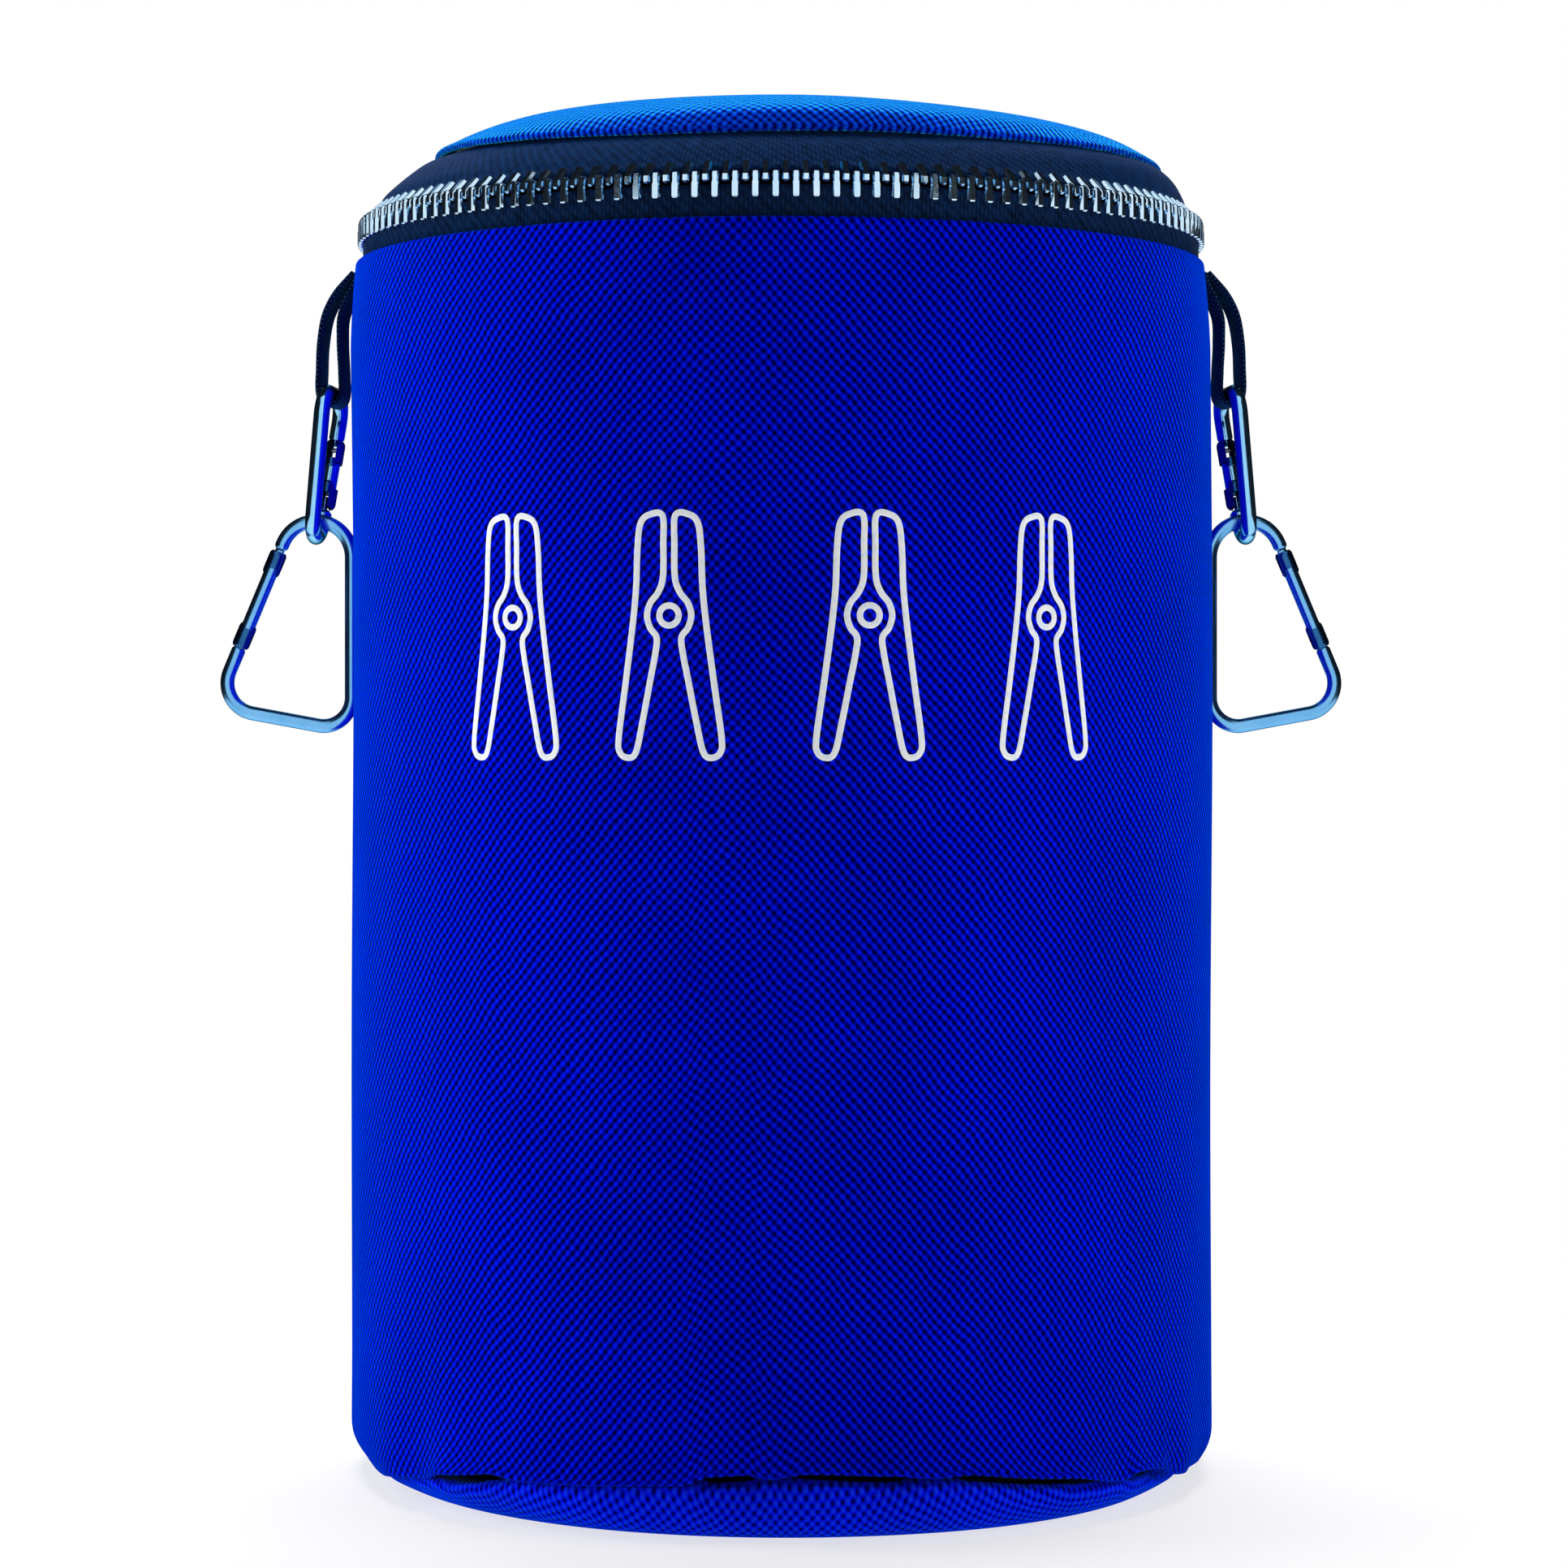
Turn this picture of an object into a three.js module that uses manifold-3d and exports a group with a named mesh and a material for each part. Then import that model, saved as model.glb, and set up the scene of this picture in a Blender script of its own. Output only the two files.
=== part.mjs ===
// Peg bag: a soft round bag with a domed zip-round lid, hung by two pairs of snap hooks.
// Millimetres, Z up, the front of the bag faces -Y. The origin is the centre of the flat base.
import * as THREE from 'three';
import { mergeVertices } from 'three/addons/utils/BufferGeometryUtils.js';
import Module from 'manifold-3d';

const wasm = await Module();
wasm.setup();

// Bag body
const BAG_R = 100;
const BAG_TOP = 278.5;
const BASE_CORNER = 11;
const SEAM_Z = 8;
const GAP = 0.3;
const FABRIC_T = 1.2;
const WALL_FOAM_T = 4;
const LINING_T = 0.6;
const BOARD_T = 2.5;
const BASE_FOAM_T = 4;
const HEM_INSET = 1.4;
const HEM_H = 20.5;
const FOAM_EASE = 0.9;
const FOAM_FOOT = 4;
const BASE_BIND_FOOT = 2.8;
const BASE_BIND_TOP = 4.6;
const FACETS = 36;

// Zip
const TAPE_T = 0.6;
const TAPE_TUCK = 9.5;
const CHAIN_Z = BAG_TOP + 8.5;
const TOOTH_PITCH = 4.2;
const TOOTH_W = 0.37 * TOOTH_PITCH;
const TOOTH_T = 3.2;
const TOOTH_FOOT = 4;
const TOOTH_HEAD = 1.2;
const LEG_L = 4.8;
const CORD_T = 1.4;
const CORD_H = 1.8;
const HINGE_HALF_DEG = 30;
const PARK_DEG = 10;
const END_TAIL = 7;
const LOWER_PHASE = 0.25;
const UPPER_PHASE = 0.75;
const SLIT_DEG = 0.1;

// Lid
const LID_RISE = 21;
const LID_LIFT = 3.3;
const LID_RIM_INSET = 10;
const LID_HEM_INSET = 14.4;
const LID_SEAM_W = 4.6;
const LID_FLATNESS = 5.1;
const LID_SHOULDER = 0.58;
const LID_FOAM_T = 5;
const LID_FOAM_INSET = 1.4;
const LID_BIND_T = 1.7;
const DOME_RINGS = [0, 0.45, 0.78, 1];

// Slider and pull
const SLIDER_L = 11;
const SLIDER_T = 1.2;
const PULL_L = 27;
const PULL_T = 1.4;
const RUN_CLEAR = 0.6;
const CROWN_H = 3.4;
const CROWN_L = 2;
const PULL_PLAY = 0.4;

// Hanging hardware
const LOOP_DEG = 85;
const LOOP_W = 11;
const LOOP_T = 1.1;
const HOOK_SIZE = 1.035;
const HOOK_ROD = 3.2;
const CLIP_SIZE = 0.737;
const CLIP_ROD = 3.6;
const CLIP_LEAN_DEG = 7;
const BAR_OUT = 6;
const BAR_DROP = 28.5;

const TURN = 360;
const FACET = TURN / FACETS;
const rad = THREE.MathUtils.degToRad;

const WALL_IN = BAG_R - FABRIC_T;
const FOAM_OUT = WALL_IN - GAP;
const FOAM_IN = FOAM_OUT - WALL_FOAM_T;
const LINING_OUT = FOAM_IN - GAP;
const LINING_IN = LINING_OUT - LINING_T;
const HEM_IN = WALL_IN - HEM_INSET;
const TAPE_OUT = HEM_IN - GAP;
const TAPE_IN = TAPE_OUT - TAPE_T;
const CHAIN_R = TAPE_OUT - TAPE_T / 2;
const TUCK_Z = BAG_TOP - TAPE_TUCK;

const blueCloth = new THREE.MeshStandardMaterial({ color: 0x0c1fb8, roughness: 0.85, metalness: 0 });
const greyLining = new THREE.MeshStandardMaterial({ color: 0x2b3038, roughness: 0.9, metalness: 0 });
const whiteFoam = new THREE.MeshStandardMaterial({ color: 0xd9dcda, roughness: 0.95, metalness: 0 });
const boardPlastic = new THREE.MeshStandardMaterial({ color: 0x3a3d42, roughness: 0.6, metalness: 0 });
const blackTape = new THREE.MeshStandardMaterial({ color: 0x0b1220, roughness: 0.9, metalness: 0 });
const nickel = new THREE.MeshStandardMaterial({ color: 0xc4cdd8, roughness: 0.3, metalness: 1 });
const aluminium = new THREE.MeshStandardMaterial({ color: 0xa9c0dd, roughness: 0.25, metalness: 1 });
const springSteel = new THREE.MeshStandardMaterial({ color: 0x8a8f96, roughness: 0.35, metalness: 1 });
const webbing = new THREE.MeshStandardMaterial({ color: 0x10182c, roughness: 0.95, metalness: 0 });

const bag = new THREE.Group();
bag.name = 'peg_bag';

// A geometry from loose triangles, turned so that its faces look outwards.
function solidFrom(triangles) {
  let volume = 0;
  const a = new THREE.Vector3();
  const b = new THREE.Vector3();
  const c = new THREE.Vector3();
  for (let i = 0; i < triangles.length; i += 9) {
    a.fromArray(triangles, i);
    b.fromArray(triangles, i + 3);
    c.fromArray(triangles, i + 6);
    volume += a.dot(b.cross(c));
  }
  const ordered = triangles.slice();
  if (volume < 0) {
    for (let i = 0; i < ordered.length; i += 9) {
      for (let k = 0; k < 3; k += 1) {
        ordered[i + 3 + k] = triangles[i + 6 + k];
        ordered[i + 6 + k] = triangles[i + 3 + k];
      }
    }
  }
  const geometry = new THREE.BufferGeometry();
  geometry.setAttribute('position', new THREE.Float32BufferAttribute(ordered, 3));
  return geometry;
}

function trianglesOf(geometry) {
  const loose = geometry.index ? geometry.toNonIndexed() : geometry;
  return Array.from(loose.getAttribute('position').array);
}

function addPiece(name, geometry, material) {
  const shape = solidFrom(trianglesOf(geometry));
  shape.computeVertexNormals();
  const mesh = new THREE.Mesh(shape, material);
  mesh.name = name;
  bag.add(mesh);
}

function toManifold(geometry) {
  const merged = mergeVertices(solidFrom(trianglesOf(geometry)), 1e-5);
  const mesh = new wasm.Mesh({
    numProp: 3,
    vertProperties: new Float32Array(merged.getAttribute('position').array),
    triVerts: new Uint32Array(merged.index.array),
  });
  return new wasm.Manifold(mesh);
}

function fromManifold(solid) {
  const mesh = solid.getMesh();
  const geometry = new THREE.BufferGeometry();
  geometry.setAttribute('position', new THREE.Float32BufferAttribute(Array.from(mesh.vertProperties), 3));
  geometry.setIndex(Array.from(mesh.triVerts));
  return geometry;
}

// A profile of [radius, height] points turned round the bag's axis.
function turned(profile) {
  const points = profile.map(([r, z]) => new THREE.Vector2(r, z));
  return new THREE.LatheGeometry(points, FACETS).rotateX(Math.PI / 2);
}

function turnedRing(section) {
  return turned([...section, section[0]]);
}

// The point at a radius on the faceted wall, its azimuth measured from the back towards +X.
function onFacet(azimuth, [r, z]) {
  const k = Math.floor(azimuth / FACET);
  const s = azimuth / FACET - k;
  const from = rad(k * FACET);
  const to = rad((k + 1) * FACET);
  const x = (1 - s) * Math.sin(from) + s * Math.sin(to);
  const y = (1 - s) * Math.cos(from) + s * Math.cos(to);
  return [r * x, r * y, z];
}

function sweepBetween(out, section, from, to) {
  section.forEach((p, i) => {
    const q = section[(i + 1) % section.length];
    const p0 = onFacet(from, p);
    const q0 = onFacet(from, q);
    const q1 = onFacet(to, q);
    const p1 = onFacet(to, p);
    out.push(...p0, ...q0, ...q1, ...p0, ...q1, ...p1);
  });
}

function capAt(out, section, azimuth, facesOn) {
  const contour = section.map(([r, z]) => new THREE.Vector2(r, z));
  THREE.ShapeUtils.triangulateShape(contour, []).forEach(([a, b, c]) => {
    const order = facesOn ? [a, b, c] : [a, c, b];
    order.forEach((k) => out.push(...onFacet(azimuth, section[k])));
  });
}

function facetStops(from, to) {
  const stops = [from];
  for (let k = Math.ceil(from / FACET + 1e-6); k * FACET < to - 1e-6; k += 1) {
    stops.push(k * FACET);
  }
  stops.push(to);
  return stops;
}

// A part of a ring: a section carried along the faceted wall and closed at both ends.
function arcSolid(section, from, to) {
  const out = [];
  const stops = facetStops(from, to);
  capAt(out, section, from, false);
  for (let i = 0; i + 1 < stops.length; i += 1) {
    sweepBetween(out, section, stops[i], stops[i + 1]);
  }
  capAt(out, section, to, true);
  return solidFrom(out);
}

// A row of teeth on its cord: teeth stand at even steps in every facet. The mouth is the pair of
// outline points where the cord leaves the tooth, and the cord starts with the same pair.
function toothRow(outline, mouth, cord, from, to, shift) {
  const facetLength = 2 * CHAIN_R * Math.sin(rad(FACET / 2));
  const perFacet = Math.round(facetLength / TOOTH_PITCH);
  const half = (FACET * TOOTH_W) / facetLength / 2;
  const flank = [...outline.slice(0, mouth + 1), cord[2], ...outline.slice(mouth + 1)];
  const out = [];
  const cordTo = (a, b) => {
    const stops = facetStops(a, b);
    for (let i = 0; i + 1 < stops.length; i += 1) {
      sweepBetween(out, cord, stops[i], stops[i + 1]);
    }
  };
  let last = from;
  capAt(out, cord, from, false);
  for (let f = Math.round(from / FACET); f < Math.round(to / FACET); f += 1) {
    for (let i = 0; i < perFacet; i += 1) {
      const middle = (f + (i + shift) / perFacet) * FACET;
      cordTo(last, middle - half);
      capAt(out, flank, middle - half, false);
      sweepBetween(out, outline, middle - half, middle + half);
      capAt(out, flank, middle + half, true);
      last = middle + half;
    }
  }
  cordTo(last, to);
  capAt(out, cord, to, true);
  return solidFrom(out);
}

// A flat outline with thickness, in the plane of its first two coordinates.
function prism(outline, depth, holes = []) {
  const shape = new THREE.Shape(outline.map(([x, y]) => new THREE.Vector2(x, y)));
  holes.forEach((hole) => shape.holes.push(new THREE.Path(hole.map(([x, y]) => new THREE.Vector2(x, y)))));
  return new THREE.ExtrudeGeometry(shape, { depth, bevelEnabled: false });
}

// A prism drawn in radius and height, as wide as given along the wall, at the back of the bag.
function wallPrism(outline, width, holes = []) {
  const axes = new THREE.Matrix4().makeBasis(
    new THREE.Vector3(0, 1, 0),
    new THREE.Vector3(0, 0, 1),
    new THREE.Vector3(1, 0, 0),
  );
  return prism(outline, width, holes).translate(0, 0, -width / 2).applyMatrix4(axes);
}

function polygon([x, y], radius, sides) {
  return Array.from({ length: sides }, (_, i) => {
    const angle = (2 * Math.PI * (i + 0.5)) / sides;
    return [x + radius * Math.cos(angle), y + radius * Math.sin(angle)];
  });
}

// Side panel: one strip of woven cloth, drawn in at the hem under the zip.
function sidePanel() {
  const bend = BASE_CORNER - SEAM_Z - GAP;
  const pull = BASE_CORNER - Math.sqrt(BASE_CORNER ** 2 - bend ** 2);
  return turnedRing([
    [BAG_R - pull, SEAM_Z + GAP],
    [BAG_R, BASE_CORNER],
    [BAG_R, BAG_TOP - HEM_H],
    [BAG_R - HEM_INSET, BAG_TOP],
    [HEM_IN, BAG_TOP],
    [WALL_IN, BAG_TOP - HEM_H],
    [WALL_IN, BASE_CORNER],
    [WALL_IN - pull, SEAM_Z + GAP],
  ]);
}

const FLOOR_Z = FABRIC_T + BOARD_T + BASE_FOAM_T + LINING_T + 3 * GAP;

function sideFoam() {
  return turnedRing([
    [FOAM_IN, FLOOR_Z + GAP],
    [FOAM_OUT - FOAM_EASE, FLOOR_Z + GAP],
    [FOAM_OUT, FLOOR_Z + FOAM_FOOT],
    [FOAM_OUT, BAG_TOP - HEM_H - FOAM_FOOT],
    [FOAM_OUT - FOAM_EASE, TUCK_Z - GAP],
    [FOAM_IN, TUCK_Z - GAP],
  ]);
}

function sideLining() {
  const top = BAG_TOP + GAP;
  return turnedRing([
    [LINING_IN, FLOOR_Z + GAP],
    [LINING_OUT, FLOOR_Z + GAP],
    [LINING_OUT, top],
    [LINING_IN, top],
  ]);
}

// Base: a shallow cloth dish with a stiff board, a foam pad and a lining disc in it.
function basePanel() {
  const middle = BAG_R - BASE_CORNER;
  const arc = (radius) => {
    const end = Math.asin((SEAM_Z - BASE_CORNER) / radius);
    return Array.from({ length: 4 }, (_, i) => {
      const angle = -Math.PI / 2 + ((end + Math.PI / 2) * i) / 3;
      return [middle + radius * Math.cos(angle), BASE_CORNER + radius * Math.sin(angle)];
    });
  };
  return turned([
    [0, 0],
    ...arc(BASE_CORNER),
    ...arc(BASE_CORNER - FABRIC_T).reverse(),
    [0, FABRIC_T],
  ]);
}

function disc(radius, bottom, top) {
  return turned([[0, bottom], [radius, bottom], [radius, top], [0, top]]);
}

function addBase() {
  const board = FABRIC_T + GAP;
  const foam = board + BOARD_T + GAP;
  const lining = foam + BASE_FOAM_T + GAP;
  const inner = LINING_IN - 2 * GAP;
  const bind = inner + 2 * GAP;
  const bindZ = foam + 3 * GAP;
  addPiece('base_panel', basePanel(), blueCloth);
  addPiece('base_board', disc(BAG_R - BASE_CORNER, board, board + BOARD_T), boardPlastic);
  addPiece('base_foam', disc(inner, foam, foam + BASE_FOAM_T), whiteFoam);
  addPiece('base_lining', disc(inner, lining, FLOOR_Z), greyLining);
  addPiece('base_binding', turnedRing([
    [bind, bindZ],
    [bind + BASE_BIND_FOOT, bindZ],
    [bind + BASE_BIND_TOP, FLOOR_Z - GAP],
    [bind, FLOOR_Z - GAP],
  ]), blackTape);
}

// Lid: height of the dome's outer face over a radius, and points set in from that face.
const LID_RIM_R = BAG_R - LID_RIM_INSET;
const LID_HEM_R = BAG_R - LID_HEM_INSET;

function domeHeight(r) {
  return CHAIN_Z + LID_LIFT + LID_RISE * (1 - (r / LID_RIM_R) ** LID_FLATNESS) ** LID_SHOULDER;
}

function domePoint(r, inset) {
  const share = r / LID_RIM_R;
  const bend = share ** (LID_FLATNESS - 1) * (1 - share ** LID_FLATNESS) ** (LID_SHOULDER - 1);
  const tilt = Math.atan((LID_RISE / LID_RIM_R) * LID_FLATNESS * LID_SHOULDER * bend);
  return [r - inset * Math.sin(tilt), domeHeight(r) - inset * Math.cos(tilt)];
}

function domeShell(radii, outer, inner) {
  const up = radii.map((r) => domePoint(r, outer));
  const down = radii.map((r) => domePoint(r, inner)).reverse();
  return turned([...up, ...down]);
}

const TAPE_INSET = FABRIC_T + 2 * GAP;
const TAPE_TOP_R = LID_HEM_R - LID_SEAM_W;

function addLid() {
  const foamR = TAPE_TOP_R - LID_FOAM_INSET;
  const rings = DOME_RINGS.map((share) => share * foamR);
  const foamIn = TAPE_INSET + LID_FOAM_T;
  addPiece('lid_panel', domeShell([...rings, LID_HEM_R], 0, FABRIC_T), blueCloth);
  addPiece('lid_foam', domeShell(rings, TAPE_INSET, foamIn), whiteFoam);
  const cover = foamIn + GAP;
  addPiece('lid_lining', domeShell(rings, cover, cover + LINING_T), greyLining);
  const bind = TAPE_INSET + TAPE_T + GAP;
  addPiece('lid_binding', turnedRing([
    domePoint(TAPE_TOP_R + 2 * GAP, bind),
    domePoint(LID_HEM_R, bind),
    domePoint(LID_HEM_R, bind + LID_BIND_T),
    domePoint(TAPE_TOP_R + 2 * GAP, bind + LID_BIND_T),
  ]), blackTape);
}

// Zip: the lower row stands upright, the upper row leans in with the lid's edge.
const LEAN = Math.SQRT1_2;

function slopePoint([r, z], along, across) {
  return [r + LEAN * (across - along), z + LEAN * (across + along)];
}

const lowerCord = [
  [CHAIN_R - CORD_T / 2, CHAIN_Z - TOOTH_FOOT],
  [CHAIN_R + CORD_T / 2, CHAIN_Z - TOOTH_FOOT],
  [CHAIN_R, CHAIN_Z - TOOTH_FOOT + CORD_H],
];
const lowerTooth = [
  [CHAIN_R - TOOTH_T / 2, CHAIN_Z - TOOTH_FOOT],
  lowerCord[0],
  lowerCord[1],
  [CHAIN_R + TOOTH_T / 2, CHAIN_Z - TOOTH_FOOT],
  [CHAIN_R + TOOTH_T / 2, CHAIN_Z + TOOTH_HEAD],
  [CHAIN_R - TOOTH_T / 2, CHAIN_Z + TOOTH_HEAD],
];

const SHOULDER = [CHAIN_R + TOOTH_T / 2, CHAIN_Z + GAP];
const LEG_T = LEAN * (TOOTH_T + CORD_T);
const LEG_END = slopePoint(SHOULDER, LEG_L, -LEG_T / 2);
const upperCord = [
  slopePoint(LEG_END, 0, CORD_T / 2),
  slopePoint(LEG_END, 0, -CORD_T / 2),
  slopePoint(LEG_END, -CORD_H, 0),
];
const upperTooth = [
  [CHAIN_R - TOOTH_T / 2, CHAIN_Z - TOOTH_HEAD],
  [CHAIN_R + TOOTH_T / 2, CHAIN_Z - TOOTH_HEAD],
  SHOULDER,
  slopePoint(SHOULDER, LEG_L, 0),
  upperCord[0],
  upperCord[1],
  slopePoint(SHOULDER, LEG_L, -LEG_T),
];

const tapeFoot = [slopePoint(LEG_END, GAP, TAPE_T / 2), slopePoint(LEG_END, GAP, -TAPE_T / 2)];
const upperTape = [
  tapeFoot[0],
  domePoint(LID_HEM_R - 2 * GAP, TAPE_INSET),
  domePoint(TAPE_TOP_R, TAPE_INSET),
  domePoint(TAPE_TOP_R, TAPE_INSET + TAPE_T),
  domePoint(LID_HEM_R - 2 * GAP, TAPE_INSET + TAPE_T),
  tapeFoot[1],
];
const endTape = [
  tapeFoot[0],
  slopePoint(tapeFoot[0], END_TAIL, 0),
  slopePoint(tapeFoot[1], END_TAIL, 0),
  tapeFoot[1],
];

function addZip() {
  const hinge = HINGE_HALF_DEG;
  const park = HINGE_HALF_DEG + PARK_DEG;
  const lowerTape = [
    [TAPE_IN, TUCK_Z],
    [TAPE_OUT, TUCK_Z],
    [TAPE_OUT, CHAIN_Z - TOOTH_FOOT - GAP],
    [TAPE_IN, CHAIN_Z - TOOTH_FOOT - GAP],
  ];
  const lowerArc = [hinge + SLIT_DEG, TURN - hinge - SLIT_DEG];
  const upperArc = [park + SLIT_DEG, TURN - park - SLIT_DEG];
  const tapeArc = [park + 3 * SLIT_DEG, TURN - park - 3 * SLIT_DEG];
  addPiece('zip_tape_lower', arcSolid(lowerTape, ...lowerArc), blackTape);
  addPiece('zip_teeth_lower', toothRow(lowerTooth, 1, lowerCord, ...lowerArc, LOWER_PHASE), nickel);
  addPiece('zip_tape_upper', arcSolid(upperTape, ...tapeArc), blackTape);
  addPiece('zip_teeth_upper', toothRow(upperTooth, 4, upperCord, ...upperArc, UPPER_PHASE), nickel);
  const ends = [['zip_end_right', hinge, park], ['zip_end_left', TURN - park, TURN - hinge]];
  ends.forEach(([name, from, to]) => {
    const arc = [from + SLIT_DEG, to - SLIT_DEG];
    addPiece(`${name}_tape`, arcSolid(endTape, from + SLIT_DEG, to - 3 * SLIT_DEG), blackTape);
    addPiece(`${name}_teeth`, toothRow(upperTooth, 4, upperCord, ...arc, UPPER_PHASE), nickel);
  });
  addPiece('mouth_binding', turnedRing([
    [LINING_OUT + GAP, TUCK_Z],
    [TAPE_IN - GAP, TUCK_Z],
    [TAPE_IN - GAP, BAG_TOP],
    [LINING_OUT + GAP, BAG_TOP],
  ]), blackTape);
}

// Cloth hinge at the back, parted at the fold line in the middle of the zip.
function addHinge() {
  const half = HINGE_HALF_DEG - SLIT_DEG;
  const fold = GAP / 2;
  addPiece('hinge_strip_lower', arcSolid([
    [TAPE_IN, TUCK_Z],
    [TAPE_OUT, TUCK_Z],
    [TAPE_OUT, CHAIN_Z - fold],
    [TAPE_IN, CHAIN_Z - fold],
  ], -half, half), blueCloth);
  addPiece('hinge_strip_upper', arcSolid([
    [TAPE_OUT, CHAIN_Z + fold],
    ...upperTape.slice(1, 5),
    [TAPE_IN, CHAIN_Z + fold],
  ], -half, half), blueCloth);
}

// Slider: an outer plate with lips and a crown for the pull, and an inner plate behind the teeth.
function addSlider() {
  const park = -rad(HINGE_HALF_DEG + PARK_DEG / 2);
  const outside = RUN_CLEAR + SLIDER_T;
  const face = SHOULDER[0] + RUN_CLEAR;
  const foot = CHAIN_Z - TOOTH_FOOT - RUN_CLEAR;
  const bend = (Math.SQRT2 - 1) * RUN_CLEAR;
  const outerBend = (Math.SQRT2 - 1) * outside;
  const top = slopePoint(SHOULDER, LEG_L, 0);
  const lip = Math.SQRT2 * (TAPE_OUT - CHAIN_R) - LEG_T / 2 + GAP;
  const plate = toManifold(wallPrism([
    [TAPE_OUT + 2 * GAP, foot - SLIDER_T],
    [face + SLIDER_T, foot - SLIDER_T],
    [face + SLIDER_T, SHOULDER[1] + outerBend],
    slopePoint(top, outside, outside),
    slopePoint(top, outside, lip),
    slopePoint(top, RUN_CLEAR, lip),
    slopePoint(top, RUN_CLEAR, RUN_CLEAR),
    [face, SHOULDER[1] + bend],
    [face, foot],
    [TAPE_OUT + 2 * GAP, foot],
  ], SLIDER_L));
  const half = SLIDER_L / 2;
  const shield = toManifold(prism([
    [-half, foot],
    [1 - half, foot - 2],
    [half - 2.5, foot - 2],
    [half, foot + 1.2],
    [half, top[1] - 0.6],
    [half - 2.5, top[1] + 4],
    [1 - half, top[1] + 4],
    [-half, top[1] + 1.6],
  ], 20).rotateX(Math.PI / 2).translate(0, face + 5, 0));
  const seat = face + SLIDER_T;
  const arch = seat + CROWN_H;
  const under = arch - SLIDER_T;
  const sunk = seat - GAP;
  const crown = toManifold(prism([
    [4.4, sunk],
    [3.6, arch],
    [-3.6, arch],
    [-4.4, sunk],
    [-3.2, sunk],
    [-2.6, under],
    [2.6, under],
    [3.2, sunk],
  ], CROWN_L).translate(0, 0, CHAIN_Z - 1.5 * CROWN_L));
  addPiece('zip_slider', fromManifold(plate.intersect(shield).add(crown)).rotateZ(park), nickel);

  const back = CHAIN_R - TOOTH_T / 2 - 1;
  const heel = [back, CHAIN_Z - TOOTH_HEAD];
  addPiece('zip_slider_back', wallPrism([
    [back - SLIDER_T, foot - SLIDER_T],
    [back, foot - SLIDER_T],
    heel,
    slopePoint(heel, LEG_L - 1, 0),
    slopePoint(heel, LEG_L - 1, -SLIDER_T),
    [back - SLIDER_T, heel[1] - (Math.SQRT2 - 1) * SLIDER_T],
  ], SLIDER_L - 1).rotateZ(park), nickel);

  const window = [[-0.7, -2], [-0.7, 2], [-5.4, 2], [-5.4, -2]];
  const outline = [
    [0.7, -3.3],
    [0.7, 3.3],
    [-6.5, 3.5],
    [-9, 2.6],
    [3 - PULL_L, 3.4],
    [-PULL_L, 2.3],
    [-PULL_L, -2.3],
    [3 - PULL_L, -3.4],
    [-9, -2.6],
    [-6.5, -3.5],
  ];
  const pull = prism(outline, PULL_T, [window]).rotateX(Math.PI / 2);
  addPiece('zip_pull',
    pull.translate(0, seat + PULL_PLAY + PULL_T, CHAIN_Z - CROWN_L).rotateZ(park), nickel);
}

// Webbing loop: one folded strip, sewn flat at the hem, with the clip's bar in its lower fold.
const BAR_R = BAG_R + BAR_OUT;
const BAR_Z = BAG_TOP - BAR_DROP;

function loopStrip() {
  const root = BAG_R - HEM_INSET;
  const fold = CLIP_ROD / 2 + GAP + LOOP_T / 2;
  const inner = [
    [root + LOOP_T / 2, BAG_TOP],
    [root + 1.4, BAG_TOP - 2.6],
    [BAR_R - 4.2, BAG_TOP - 6],
    [BAR_R - 2.6, BAG_TOP - 10],
    [BAR_R - 2.3, BAG_TOP - 16],
    [BAR_R - fold, BAR_Z + 4],
  ];
  const under = Array.from({ length: 9 }, (_, i) => {
    const angle = Math.PI + (Math.PI * i) / 8;
    return [BAR_R + fold * Math.cos(angle), BAR_Z + fold * Math.sin(angle)];
  });
  const outer = [
    [BAR_R + fold, BAR_Z + 6],
    [BAR_R + 2.3, BAG_TOP - 16],
    [BAR_R + 1, BAG_TOP - 9.5],
    [BAR_R - 1.4, BAG_TOP - 5],
    [BAR_R - 4, BAG_TOP - 2],
    [root + LOOP_T * 1.5, BAG_TOP],
  ];
  const path = [...inner, ...under, ...outer];
  const side = (i, distance) => {
    const [ax, ay] = path[Math.max(i - 1, 0)];
    const [bx, by] = path[Math.min(i + 1, path.length - 1)];
    const length = Math.hypot(bx - ax, by - ay);
    return [path[i][0] + (distance * (by - ay)) / length, path[i][1] - (distance * (bx - ax)) / length];
  };
  const hull = path.map((_, i) => side(i, LOOP_T / 2));
  hull[0] = [root, BAG_TOP];
  hull[path.length - 1] = [root + LOOP_T * 2, BAG_TOP];
  const eye = path.map((_, i) => side(i, -LOOP_T / 2)).slice(2, path.length - 2);
  return wallPrism(hull, LOOP_W, [eye.reverse()]);
}

// Snap hook: its rod follows a belt round three circles, open where the gate closes it. Each circle
// is its middle and its radius.
const NECK = [8.3, -8.3, 8.3];
const HEEL = [6.5, -40.2, 6.5];
const TOE = [21.8, -36.9, 7];

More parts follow.
